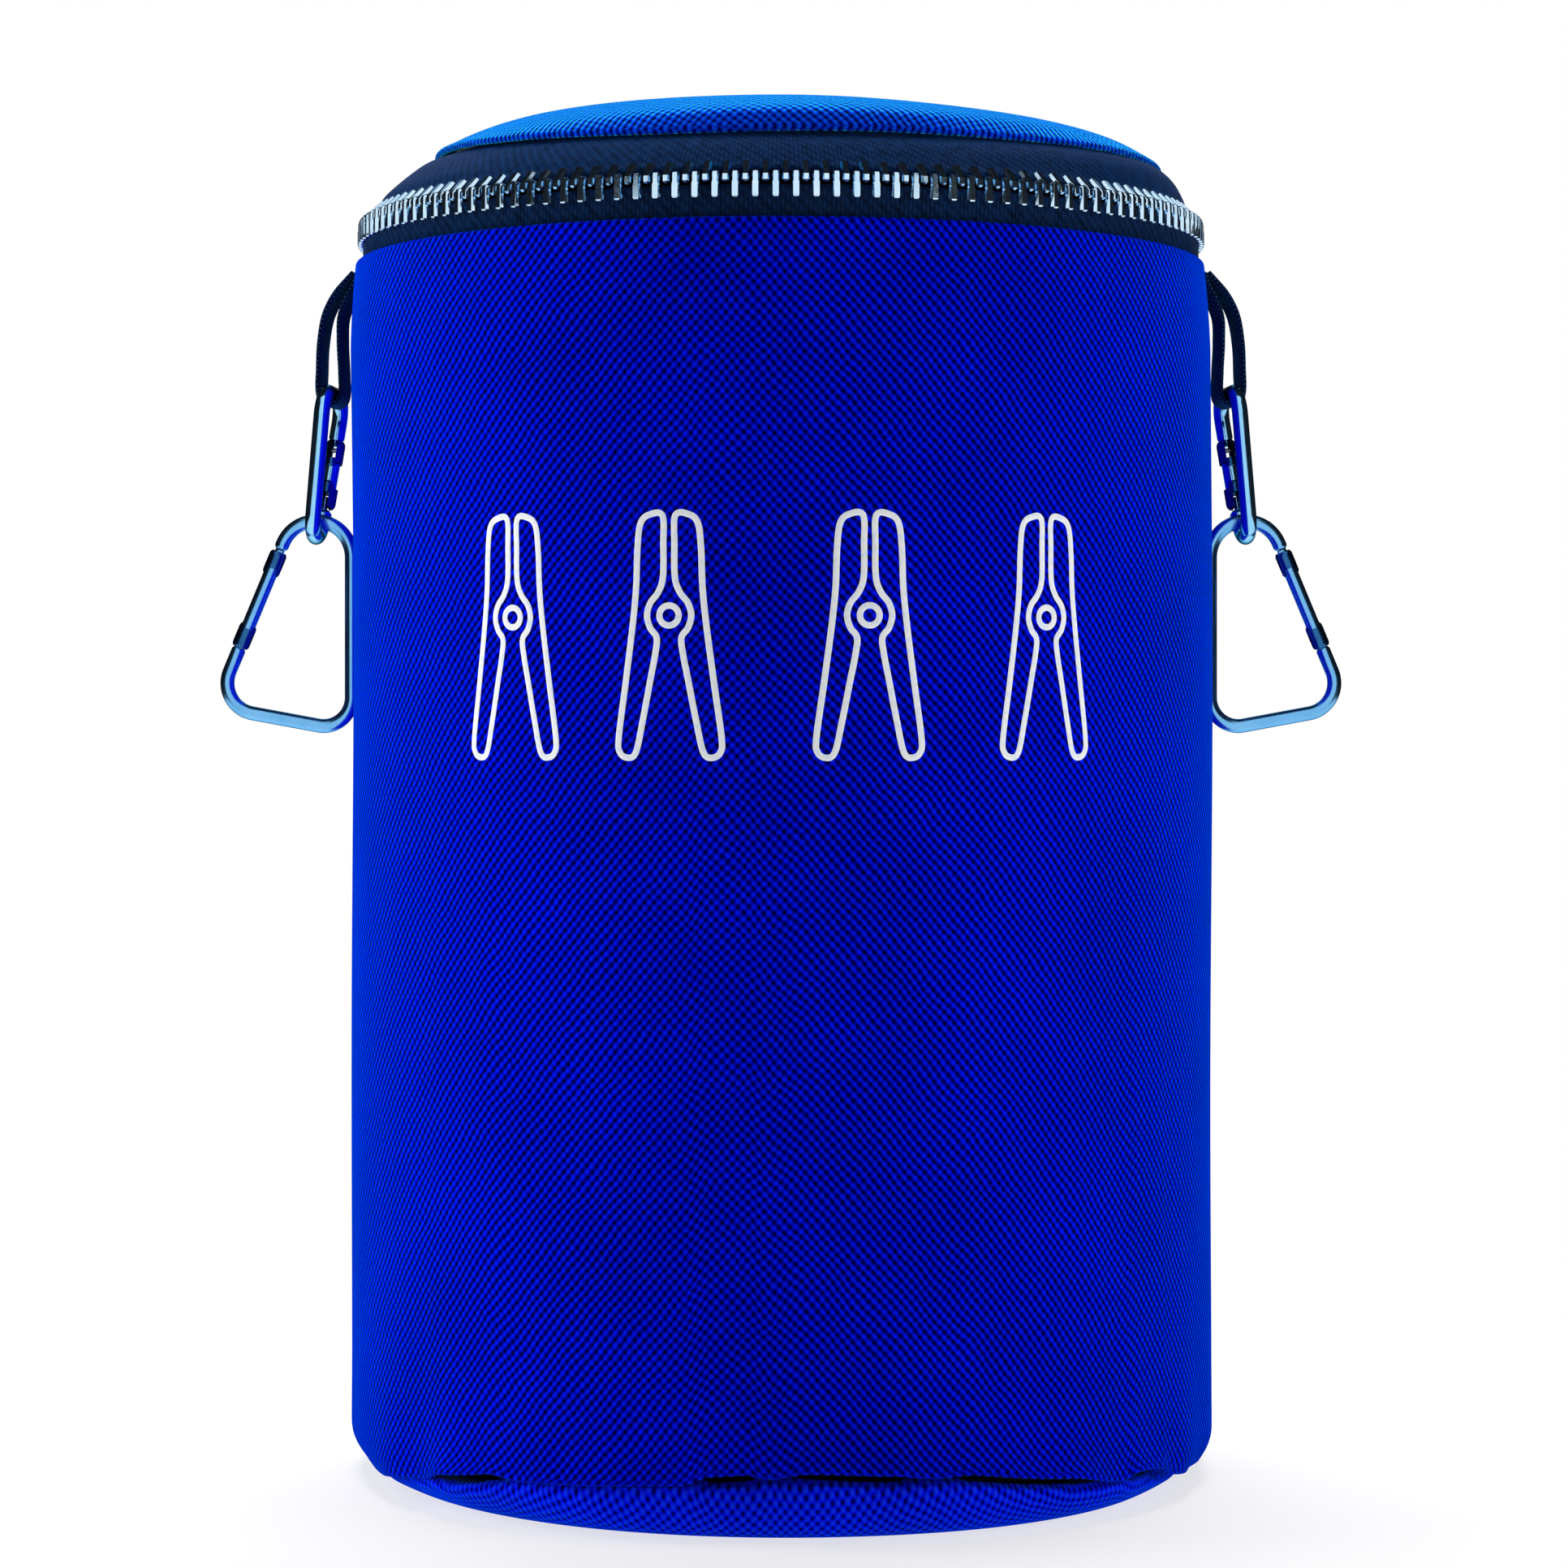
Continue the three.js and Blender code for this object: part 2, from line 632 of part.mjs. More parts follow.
function hookBelt(size) {
  const circles = [NECK, HEEL, TOE].map((c) => c.map((v) => v * size));
  const runs = circles.map(([x, y, r], i) => {
    const [nx, ny, nr] = circles[(i + 1) % 3];
    const angle = Math.atan2(ny - y, nx - x) - Math.acos((r - nr) / Math.hypot(nx - x, ny - y));
    const normal = [Math.cos(angle), Math.sin(angle)];
    const from = [x + r * normal[0], y + r * normal[1]];
    const to = [nx + nr * normal[0], ny + nr * normal[1]];
    return { angle, normal, from, to };
  });
  const bends = circles.map(([x, y, r], i) => {
    const start = runs[(i + 2) % 3].angle;
    const sweep = (runs[i].angle - start + 4 * Math.PI) % (2 * Math.PI);
    const steps = Math.ceil(sweep / rad(26));
    return Array.from({ length: steps + 1 }, (_, k) => {
      const angle = start + (sweep * k) / steps;
      return [x + r * Math.cos(angle), y + r * Math.sin(angle)];
    });
  });
  return { circles, runs, bends };
}

// An eight-sided rod along a flat path, closed at both ends.
function rodAlong(path, radius, sides = 8) {
  const rings = path.map(([x, y], i) => {
    const [ax, ay] = path[Math.max(i - 1, 0)];
    const [bx, by] = path[Math.min(i + 1, path.length - 1)];
    const length = Math.hypot(bx - ax, by - ay);
    const normal = [(by - ay) / length, -(bx - ax) / length];
    return polygon([0, 0], radius, sides).map(([w, n]) => [x + w * normal[0], y + w * normal[1], n]);
  });
  const out = [];
  for (let i = 0; i + 1 < rings.length; i += 1) {
    for (let k = 0; k < sides; k += 1) {
      const next = (k + 1) % sides;
      const [p0, q0, q1, p1] = [rings[i][k], rings[i][next], rings[i + 1][next], rings[i + 1][k]];
      out.push(...p0, ...q0, ...q1, ...p0, ...q1, ...p1);
    }
  }
  const last = rings[rings.length - 1];
  for (let k = 1; k + 1 < sides; k += 1) {
    out.push(...rings[0][0], ...rings[0][k + 1], ...rings[0][k]);
    out.push(...last[0], ...last[k], ...last[k + 1]);
  }
  return solidFrom(out);
}

function hookPieces(size, rod) {
  const { runs, bends } = hookBelt(size);
  const gate = runs[2];
  const length = Math.hypot(gate.to[0] - gate.from[0], gate.to[1] - gate.from[1]);
  const along = [(gate.from[0] - gate.to[0]) / length, (gate.from[1] - gate.to[1]) / length];
  const at = (s, w) => [
    gate.to[0] + along[0] * s + gate.normal[0] * w,
    gate.to[1] + along[1] * s + gate.normal[1] * w,
  ];
  const radius = rod * 0.52;
  const pin = rod * 0.16;
  const tongue = rod * 0.28;
  const slot = tongue + 2 * GAP;
  const wide = rod * 0.36;
  const pivot = rod * 1.05;
  const head = pivot - rod * 0.4;
  const tail = length * 0.813;
  const latch = tail - rod * 0.6;
  const flat = (outline, thick, holes) => toManifold(
    prism(outline, thick, holes).translate(0, 0, -thick / 2),
  );
  const strip = (from, to, half, thick) => flat(
    [at(from, -half), at(from, half), at(to, half), at(to, -half)], thick);

  const path = [at(pivot - rod * 0.68, 0), ...bends[0], ...bends[1], ...bends[2], at(tail + GAP, 0)];
  const eye = polygon(at(pivot, 0), pin + GAP, 6);
  const knuckle = flat([
    at(pivot - rod, -wide),
    at(pivot - rod, wide),
    at(pivot + wide, wide),
    at(pivot + wide, -wide),
  ], tongue, [eye]);
  const bite = pin + rod * 0.1;
  const nose = flat([
    at(tail + rod * 0.4, -wide),
    at(tail + rod * 0.4, wide),
    at(tail - rod * 1.1, wide),
    at(tail - rod * 1.1, -wide),
    at(latch - bite, -wide),
    at(latch - bite, bite),
    at(latch + bite, bite),
    at(latch + bite, -wide),
  ], tongue);
  const frame = toManifold(rodAlong(path, radius)).add(knuckle).add(nose);

  const floor = pivot + rod * 0.62;
  const bore = rod * 0.26;
  const blind = floor + rod * 2.2;
  const gateBody = toManifold(rodAlong([at(head, 0), at(tail, 0)], radius))
    .subtract(strip(head - 1, floor, rod, slot))
    .subtract(strip(tail - rod * 1.22, tail + 1, rod, slot))
    .subtract(flat(eye, 2 * rod))
    .subtract(flat(polygon(at(latch, 0), pin + GAP, 6), 2 * rod))
    .subtract(toManifold(rodAlong([at(floor - 0.2, 0), at(blind, 0)], bore, 6)));

  return {
    frame: fromManifold(frame),
    gate: fromManifold(gateBody),
    pivot_pin: fromManifold(flat(polygon(at(pivot, 0), pin, 6), rod * 0.94)),
    latch_pin: fromManifold(flat(polygon(at(latch, 0), pin, 6), rod * 0.94)),
    gate_spring: rodAlong([at(floor, 0), at(blind - GAP, 0)], bore - GAP, 6),
  };
}

// The clip hangs from the middle of its straight bar, and the hook hangs in its narrow end.
function hangingFrames() {
  const { circles, runs } = hookBelt(CLIP_SIZE);
  const bar = runs[1];
  const middle = [(bar.from[0] + bar.to[0]) / 2, (bar.from[1] + bar.to[1]) / 2];
  const turn = Math.PI - (bar.angle + Math.PI / 2);
  const [cx, cy, cr] = circles[0];
  const dx = cx - middle[0];
  const dy = cy - middle[1];
  const side = dx * Math.cos(turn) - dy * Math.sin(turn);
  const drop = cr - (dx * Math.sin(turn) + dy * Math.cos(turn));
  const lean = rad(CLIP_LEAN_DEG);
  const clip = new THREE.Matrix4().makeTranslation(0, BAR_R, BAR_Z)
    .multiply(new THREE.Matrix4().makeRotationX(lean))
    .multiply(new THREE.Matrix4().makeRotationX(Math.PI / 2))
    .multiply(new THREE.Matrix4().makeRotationZ(turn))
    .multiply(new THREE.Matrix4().makeTranslation(-middle[0], -middle[1], 0));
  const linkR = BAR_R + drop * Math.sin(lean);
  const linkZ = BAR_Z - drop * Math.cos(lean) + (CLIP_ROD + HOOK_ROD) / 2 + GAP;
  const hook = new THREE.Matrix4().makeTranslation(side, linkR - NECK[2] * HOOK_SIZE, linkZ)
    .multiply(new THREE.Matrix4().makeBasis(
      new THREE.Vector3(0, 1, 0),
      new THREE.Vector3(0, 0, 1),
      new THREE.Vector3(1, 0, 0),
    ));
  return { clip, hook };
}

function addHanger(side, mirror) {
  const place = new THREE.Matrix4().makeScale(mirror, 1, 1)
    .multiply(new THREE.Matrix4().makeRotationZ(-rad(LOOP_DEG)));
  const frames = hangingFrames();
  addPiece(`${side}_loop`, loopStrip().applyMatrix4(place), webbing);
  const sets = [
    ['clip', hookPieces(CLIP_SIZE, CLIP_ROD), frames.clip],
    ['hook', hookPieces(HOOK_SIZE, HOOK_ROD), frames.hook],
  ];
  sets.forEach(([kind, pieces, seat]) => {
    Object.entries(pieces).forEach(([piece, geometry]) => {
      const metal = piece === 'gate_spring' ? springSteel : aluminium;
      addPiece(`${side}_${kind}_${piece}`, geometry.applyMatrix4(seat).applyMatrix4(place), metal);
    });
  });
}

addPiece('side_panel', sidePanel(), blueCloth);
addPiece('side_foam', sideFoam(), whiteFoam);
addPiece('side_lining', sideLining(), greyLining);
addBase();
addLid();
addZip();
addHinge();
addSlider();
addHanger('right', 1);
addHanger('left', -1);

export default bag;
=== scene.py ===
import bpy
import numpy as np
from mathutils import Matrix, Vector


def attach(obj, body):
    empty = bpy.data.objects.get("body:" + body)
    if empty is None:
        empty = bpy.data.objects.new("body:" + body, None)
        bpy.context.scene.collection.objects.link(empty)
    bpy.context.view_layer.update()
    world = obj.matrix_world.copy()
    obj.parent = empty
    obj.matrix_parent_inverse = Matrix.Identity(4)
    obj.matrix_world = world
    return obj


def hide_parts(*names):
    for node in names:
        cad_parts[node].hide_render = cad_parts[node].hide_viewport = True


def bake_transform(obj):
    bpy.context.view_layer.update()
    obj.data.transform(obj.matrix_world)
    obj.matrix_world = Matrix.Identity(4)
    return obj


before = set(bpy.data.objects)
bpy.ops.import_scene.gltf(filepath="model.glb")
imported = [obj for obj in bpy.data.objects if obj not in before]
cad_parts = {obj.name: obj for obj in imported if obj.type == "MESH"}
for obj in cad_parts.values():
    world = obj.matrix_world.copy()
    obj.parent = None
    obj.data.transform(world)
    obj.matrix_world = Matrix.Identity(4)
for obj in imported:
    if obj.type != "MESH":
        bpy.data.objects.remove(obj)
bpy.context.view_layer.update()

# BASE PANEL
# A round of woven polyester cloth, drawn up at its edge into a shallow dish and sewn to the wall.
# The seam lies low at the sides and rides up at the front and the back. Sizes are in millimetres.
BAG_R = 100.0
CORNER = 11.0
CLOTH_T = 1.2
YARN_U = 2.2
YARN_V = 2.45
TURNED_IN = 2.2
GAPE = 2.1
BULGE_AT = 38
AROUND = 288
theta = np.linspace(-np.pi, np.pi, AROUND, endpoint=False)


def linear(colour):
    """sRGB hex to linear light: c / 12.92 when dark, else ((c + 0.055) / 1.055) to the power 2.4."""
    c = np.array([int(colour[i:i + 2], 16) for i in (1, 3, 5)]) / 255
    c = np.where(c <= 0.04045, c / 12.92, ((c + 0.055) / 1.055) ** 2.4)
    return (*c.tolist(), 1.0)


def feed(tree, node, feeds):
    """Gives each input named a value, or a link from an output or from another node's first output."""
    for key, value in feeds.items():
        if isinstance(value, bpy.types.Node):
            value = value.outputs[0]
        if isinstance(value, bpy.types.NodeSocket):
            tree.links.new(value, node.inputs[key])
        else:
            node.inputs[key].default_value = value


def join(tree, kind, feeds, **settings):
    """Adds one node with its settings and feeds its inputs."""
    node = tree.nodes.new(kind)
    for name, value in settings.items():
        setattr(node, name, value)
    feed(tree, node, feeds)
    return node


def set_stops(ramp, places, shades):
    """Gives a colour ramp its stops, from the dark end up."""
    stops = ramp.color_ramp.elements
    for place in places[2:]:
        stops.new(0.5)
    for stop, place, shade in zip(stops, places, shades):
        stop.position = place
        stop.color = linear(shade)


def new_material(name):
    """An empty node tree and the surface shader that ends in its output."""
    material = bpy.data.materials.new(name)
    material.use_nodes = True
    tree = material.node_tree
    tree.nodes.clear()
    shader = tree.nodes.new("ShaderNodeBsdfPrincipled")
    join(tree, "ShaderNodeOutputMaterial", {"Surface": shader})
    return material, tree, shader


def outward(points, faces):
    """True if the faces look out: the tetrahedra from the origin to every face sum to a volume over 0."""
    a, b, c = (points[faces[:, k]] for k in (0, 1, 2))
    d = points[faces[:, -1]]
    volume = np.einsum("ij,ij->", a, np.cross(b, c)) + np.einsum("ij,ij->", a, np.cross(c, d))
    return volume > 0


def skin(grid, plan, loop_rows=False):
    """A skin over grid[row, column], in mm, closed along its columns, and along its rows if asked. A first
    or last row whose points all meet is a pole, and its faces are triangles. Gives points, faces and map."""
    rows, columns = grid.shape[:2]
    index = np.arange(rows * columns).reshape(rows, columns)
    poles = [np.ptp(grid[i], axis=0).max() < 1e-6 and not loop_rows for i in (0, -1)]
    for end, pole in zip((0, -1), poles):
        if pole:
            index[end] = index[end, 0]
    low = np.arange(rows if loop_rows else rows - 1)
    high = (low + 1) % rows
    right = (np.arange(columns) + 1) % columns
    quads = np.stack([index[low], index[low][:, right], index[high][:, right], index[high]], -1)
    up = low + 1
    maps = np.stack([plan[low][:, :-1], plan[low][:, 1:], plan[up][:, 1:], plan[up][:, :-1]], 2)
    body = slice(int(poles[0]), len(low) - int(poles[1]))
    faces = [quads[body].reshape(-1, 4)]
    marks = [maps[body].reshape(-1, 2)]
    for pole, row, keep in ((poles[0], 0, [0, 2, 3]), (poles[1], -1, [0, 1, 2])):
        if pole:
            faces.append(quads[row][:, keep])
            marks.append(maps[row][:, keep].reshape(-1, 2))
    corners = np.concatenate([f.ravel() for f in faces])
    used, corners = np.unique(corners, return_inverse=True)
    points = grid.reshape(-1, 3)[used] / 1000
    ends = np.cumsum([0] + [f.size for f in faces])
    faces = [corners[s:e].reshape(f.shape) for f, s, e in zip(faces, ends, ends[1:])]
    marks = [m.reshape(*f.shape, 2) for m, f in zip(marks, faces)]
    if not outward(points - points.mean(0), faces[0]):
        faces = [f[:, ::-1] for f in faces]
        marks = [m[:, ::-1] for m in marks]
    return points, faces, marks


def put_skins(name, skins, *materials, sharp=40):
    """One mesh of several closed skins, with smooth faces and its map in mm. The first skin has the first
    material, and the rest the last one."""
    shifts = np.cumsum([0] + [len(points) for points, _, _ in skins])
    points = np.concatenate([points for points, _, _ in skins])
    faces = [face for shift, (_, parts, _) in zip(shifts, skins) for part in parts
             for face in (part + shift).tolist()]
    marks = np.concatenate([part.ravel() for _, _, parts in skins for part in parts])
    mesh = bpy.data.meshes.new(name)
    mesh.from_pydata(points.tolist(), [], faces)
    mesh.uv_layers.new(name="cloth_mm").data.foreach_set("uv", marks.astype(np.float32))
    mesh.shade_smooth()
    mesh.set_sharp_from_angle(angle=np.radians(sharp))
    for material in materials:
        mesh.materials.append(material)
    rest = np.arange(len(mesh.polygons)) >= sum(len(part) for part in skins[0][1])
    mesh.polygons.foreach_set("material_index", rest * (len(materials) - 1))
    piece = bpy.data.objects.new(name, mesh)
    bpy.context.scene.collection.objects.link(piece)
    return piece


def fit(piece, body, slot, *nodes):
    """The piece moves with its body and stands for its solids, which it hides. Its slot is not used."""
    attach(piece, body)
    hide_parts(*nodes)
    return piece


def spin(r, z, angle):
    """Points at a radius and height, turned about the bag's axis from the front towards the right."""
    return np.stack(np.broadcast_arrays(r * np.sin(angle), -r * np.cos(angle), z), -1)


def two_sided(r, z, half, pole=False):
    """The outline of a sheet: rows of its middle line set off half a thickness to both sides along
    the normal, with half circles round its ends, or meeting on the axis at its first row."""
    half = np.broadcast_to(half, r.shape)
    dr, dz = np.gradient(r, axis=0), np.gradient(z, axis=0)
    size = np.hypot(dr, dz)
    nr, nz = dz / size, -dr / size
    if pole:
        nr[0], nz[0] = 0, np.sign(nz[0])
    turn = np.linspace(0, np.pi, 7)[1:-1, None]
    cap_r = r[-1] + half[-1] * (np.cos(turn) * nr[-1] - np.sin(turn) * nz[-1])
    cap_z = z[-1] + half[-1] * (np.cos(turn) * nz[-1] + np.sin(turn) * nr[-1])
    out_r = [r + half * nr, cap_r, (r - half * nr)[::-1]]
    out_z = [z + half * nz, cap_z, (z - half * nz)[::-1]]
    if not pole:
        out_r.append(r[0] - half[0] * (np.cos(turn) * nr[0] - np.sin(turn) * nz[0]))
        out_z.append(z[0] - half[0] * (np.cos(turn) * nz[0] + np.sin(turn) * nr[0]))
    return np.concatenate(out_r), np.concatenate(out_z)


def laid_flat(name, r, z, half, material):
    """A round of sheet, its middle line running out from the axis, with a map of the run out along one
    face, round the edge and back along the other, laid flat."""
    out_r, out_z = two_sided(r, z, half, pole=True)
    out_r[[0, -1]] = 0
    mean_r, mean_z = out_r.mean(1), out_z.mean(1)
    run = np.cumsum(np.hypot(np.diff(mean_r, prepend=0), np.diff(mean_z, prepend=mean_z[0])))
    rim = run[-len(r)]
    run = (rim - np.abs(run - rim))[:, None]
    turn = np.append(theta, theta[0] + 2 * np.pi)
    plan = np.stack([run * np.sin(turn), run * np.cos(turn)], -1)
    return put_skins(name, [skin(spin(out_r, out_z, theta), plan)], material)


def ripple(angle, waves):
    """A sum of sines round the bag, from rows of (turns, size in mm, phase)."""
    return sum(size * np.sin(turns * angle + phase) for turns, size, phase in waves)


def seam_height(angle):
    """Height of the base seam: low at the sides, high at the front and back, with a slight waver."""
    waver = ripple(angle, ((7, 0.35, 0.4), (13, 0.25, 2.1), (19, 0.15, 1.0)))
    return 2.4 + 10.4 * np.cos(angle) ** 2 + waver


def seam_gape(angle):
    """How far the seam stands open, 0 to 1: 0.15 all round, and fully over runs of (middle, half width) in
    degrees, where the cloth lifts off."""
    runs = ((-43, 7), (-6.5, 4), (8.5, 9), (31.5, 12), (54, 4.5), (140, 12), (-130, 9), (-165, 6))
    degrees = np.degrees(angle)
    return np.clip(0.15 + sum(np.exp(-((degrees - mid) / half) ** 4) for mid, half in runs), 0, 1)


def drawn_in(angle, z):
    """How far the seam pulls the cloth in at the sides: 2.2 mm at the floor, gone within about 12 mm."""
    return 2.2 * np.sin(angle) ** 2 * np.exp(-(z / 6) ** 2)


def woven_cloth(name, shades, pitch_u, pitch_v, sheen, sheen_tint, lean=0.0):
    """Coarse woven cloth: yarns cross in pairs, so bright knuckles stand in staggered rows with dark holes
    between them. Height is one diagonal cosine less the other, each times its share. With a lean, the
    shares are painted light: one diagonal is drawn brighter and prouder on the left and the other on the
    right, changing over across the front, as side lamps from the upper left and right would light them.
    The yarn is smooth, so the cloth shines at a low angle. The noises' scales are per mm of cloth."""
    material, tree, shader = new_material(name)
    where = join(tree, "ShaderNodeUVMap", {}, uv_map="cloth_mm")
    stray = join(tree, "ShaderNodeTexNoise", {"Vector": where, "Scale": 0.09, "Detail": 2.0})
    moved = join(tree, "ShaderNodeVectorMath", {0: stray.outputs[1], 1: (1.6, 1.6, 0.0), 2: where},
                 operation="MULTIPLY_ADD")
    per_mm = (2 * np.pi / pitch_u, 2 * np.pi / pitch_v, 0)
    turns = join(tree, "ShaderNodeVectorMath", {0: moved, 1: per_mm}, operation="MULTIPLY")
    parts = join(tree, "ShaderNodeSeparateXYZ", {0: turns})
    across = join(tree, "ShaderNodeSeparateXYZ", {0: where})
    # With a lean, these shares are painted light for the slant of side lamps on the knuckles.
    fall_share_with_painted_lean = join(tree, "ShaderNodeMapRange",
                      {0: across, 1: -45.0, 2: 20.0, 3: 0.54 - lean, 4: 0.54 + lean},
                      interpolation_type="SMOOTHSTEP")
    rise_share_with_painted_lean = join(tree, "ShaderNodeMath", {0: 1.08, 1: fall_share_with_painted_lean}, operation="SUBTRACT")
    slants = []
    for sign, share in (("SUBTRACT", rise_share_with_painted_lean), ("ADD", fall_share_with_painted_lean)):
        turn = join(tree, "ShaderNodeMath", {0: parts.outputs[0], 1: parts.outputs[1]}, operation=sign)
        wave = join(tree, "ShaderNodeMath", {0: turn}, operation="COSINE")
        slants.append(join(tree, "ShaderNodeMath", {0: wave, 1: share}, operation="MULTIPLY"))
    knuckle = join(tree, "ShaderNodeMath", {0: slants[0], 1: slants[1]}, operation="SUBTRACT")
    fibre = join(tree, "ShaderNodeTexNoise", {"Vector": where, "Scale": 1.4, "Detail": 3.0})
    height = join(tree, "ShaderNodeMath", {0: fibre, 1: 0.7, 2: knuckle}, operation="MULTIPLY_ADD")
    level = join(tree, "ShaderNodeMapRange", {0: height, 1: -0.75, 2: 1.45, 3: 0.0, 4: 1.0})
    ramp = join(tree, "ShaderNodeValToRGB", {0: level})
    set_stops(ramp, (0.06, 0.42, 0.92), shades)
    drift = join(tree, "ShaderNodeTexNoise", {"Vector": where, "Scale": 0.03, "Detail": 2.0})
    worn = join(tree, "ShaderNodeMapRange", {0: drift, 1: 0.3, 2: 0.7, 3: 0.88, 4: 1.1})
    shade = join(tree, "ShaderNodeVectorMath", {0: ramp, 1: worn}, operation="MULTIPLY")
    bump = join(tree, "ShaderNodeBump", {"Height": height, "Strength": 0.8, "Distance": 0.00025})
    feed(tree, shader, {"Base Color": shade, "Normal": bump, "Roughness": 0.5, "Specular IOR Level": 0.0,
                        "Sheen Weight": sheen, "Sheen Roughness": 0.3, "Sheen Tint": linear(sheen_tint)})
    return material


# The eye sees slanting rows of blue knuckles over near-black holes, paler where the wall turns away. Which
# slant stands out turns over across the front: that lean is painted light.
blue_cloth = woven_cloth("oxford_weave_polyester", ("#000028", "#0004a8", "#0018ff"), YARN_U, YARN_V,
                         0.8, "#0074ff", lean=0.22)
# The base is the same cloth with lighter shades: painted light, for the light it takes from the floor.
base_weave_painted_lighter = woven_cloth("oxford_weave_painted_lighter_for_the_base", ("#000048", "#000cf0", "#1034ff"), YARN_U, YARN_V,
                         0.8, "#0074ff")

seam = seam_height(theta)
open_seam = seam_gape(theta)
flat_r = np.linspace(0, BAG_R - CORNER, 24)[:-1, None] * np.ones(AROUND)
on_corner = CORNER * np.arccos(np.clip(1 - seam / CORNER, -1, 1))
past_corner = CORNER * np.pi / 2 + seam - CORNER
to_edge = np.where(seam <= CORNER, on_corner, past_corner) + TURNED_IN - 2.8 * open_seam
run = np.linspace(0, 1, 22)[:, None] * to_edge
angle = np.minimum(run / CORNER, np.pi / 2)
rise_z = CORNER - CORNER * np.cos(angle) + np.maximum(run - CORNER * np.pi / 2, 0)
tuck = np.clip((rise_z - seam + TURNED_IN) / TURNED_IN, 0, 1) ** 3
bulge = 2.0 * np.exp(-((np.degrees(theta) - BULGE_AT) / 24) ** 2 - (rise_z / 6) ** 2)
pucker = ripple(theta, ((9, 0.8, 0.3), (15, 0.6, 1.9))) * np.sin(np.pi * np.clip(rise_z / seam, 0, 1))
rise_r = BAG_R - CORNER + CORNER * np.sin(angle) - tuck * (TURNED_IN + GAPE * open_seam)
rise_r = rise_r - drawn_in(theta, rise_z) + bulge + 0.35 * pucker
base_r = np.concatenate([flat_r, rise_r])
base_z = np.concatenate([np.zeros_like(flat_r), rise_z])
base_cloth = laid_flat("base_cloth", base_r - 0.5 * (base_r > BAG_R - CORNER), base_z + CLOTH_T / 2,
                       CLOTH_T / 2, base_weave_painted_lighter)
fit(base_cloth, "bag", "bag_cloth", "base_panel")

# BASE BOARD, PAD AND LINING
# A stiff polypropylene sheet keeps the bottom flat. A foam round lies on it under a lining round,
# and a tape binds the raw edges of the seam inside.
PAD_R = 92.5


def plain_stuff(name, colour, second, grain_mm, rough):
    """A plain stuff whose tone and surface waver over a grain of the given width."""
    material, tree, shader = new_material(name)
    where = join(tree, "ShaderNodeTexCoord", {})
    grain = join(tree, "ShaderNodeTexNoise",
                 {"Vector": where.outputs["Object"], "Scale": 1000 / grain_mm, "Detail": 3.0})
    tint = join(tree, "ShaderNodeMix", {"Factor": grain, 6: linear(colour), 7: linear(second)},
                data_type="RGBA")
    bump = join(tree, "ShaderNodeBump", {"Height": grain, "Strength": 0.4, "Distance": grain_mm / 4000})
    feed(tree, shader, {"Base Color": tint.outputs[2], "Normal": bump, "Roughness": rough})
    return material


def closed_run(out_r, out_z):
    """Run round a closed outline, from 0 to its whole length, on the mean of its columns."""
    mean_r, mean_z = out_r.mean(1), out_z.mean(1)
    step = np.hypot(np.diff(mean_r, append=mean_r[0]), np.diff(mean_z, append=mean_z[0]))
    return np.concatenate([[0], np.cumsum(step)])


def laid_round(name, r, z, half, material):
    """A ring of sheet: the two-sided outline at each azimuth, with a map of arc length and run."""
    out_r, out_z = two_sided(r, z, half)
    across = BAG_R * np.append(theta, theta[0] + 2 * np.pi)
    plan = np.stack(np.broadcast_arrays(across[None], closed_run(out_r, out_z)[:, None]), -1)
    return put_skins(name, [skin(spin(out_r, out_z, theta), plan, loop_rows=True)], material)


def dress(node, material):
    """A CAD solid that shows as it is, in its real material."""
    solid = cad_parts[node]
    solid.data.materials.clear()
    solid.data.materials.append(material)
    return solid


# The sheet is dark and half dull, and the foam pale and quite dull. The lining's fine yarn reads as one
# dark surface, and the tape as a nearly black one with a slight blue shine.
board_sheet = plain_stuff("polypropylene_sheet", "#26282c", "#34373d", 0.8, 0.5)
open_foam = plain_stuff("polyurethane_foam", "#cfd0c8", "#b4b5ac", 1.2, 0.95)
lining_cloth = woven_cloth("taffeta_lining", ("#0a0c14", "#20242e", "#343a48"), 0.9, 0.9, 0.2, "#8090b0")
tape_cloth = woven_cloth("polyester_binding_tape", ("#01040a", "#061226", "#0e2240"), 1.4, 1.0, 0.2,
                         "#2a5aa0")
dress("base_board", board_sheet)
disc = np.linspace(0, 1, 20)[:, None] * np.ones(AROUND)
base_pad = laid_flat("base_pad", disc * (PAD_R - 1.7), 6.3 + 0 * disc, 1.9, open_foam)
fit(base_pad, "bag", "foam", "base_foam")
base_inside = laid_flat("base_lining_cloth", disc * PAD_R, 9.0 + 0 * disc, 0.35, lining_cloth)
fit(base_inside, "bag", "lining", "base_lining")
bind = np.linspace(0, 1, 10)[:, None] * np.ones(AROUND)
base_tape = laid_round("base_binding_tape", 94.0 + 3.2 * bind, 6.6 + 2.0 * bind, 0.6, tape_cloth)
fit(base_tape, "bag", "binding", "base_binding")

# SIDE WALL
# One strip of the same cloth, joined at the back, padded with sheet foam and lined. Its top edge is
# turned in as a hem behind the zip, and its foot is turned under at the base seam.
BAG_TOP = 278.5
HEM = 20.5
WALL_PAD_R = 96.4
WALL_PAD_TOP = 266.4
WALL_LINING_R = 93.9
MOUTH_TAPE_R = 95.35


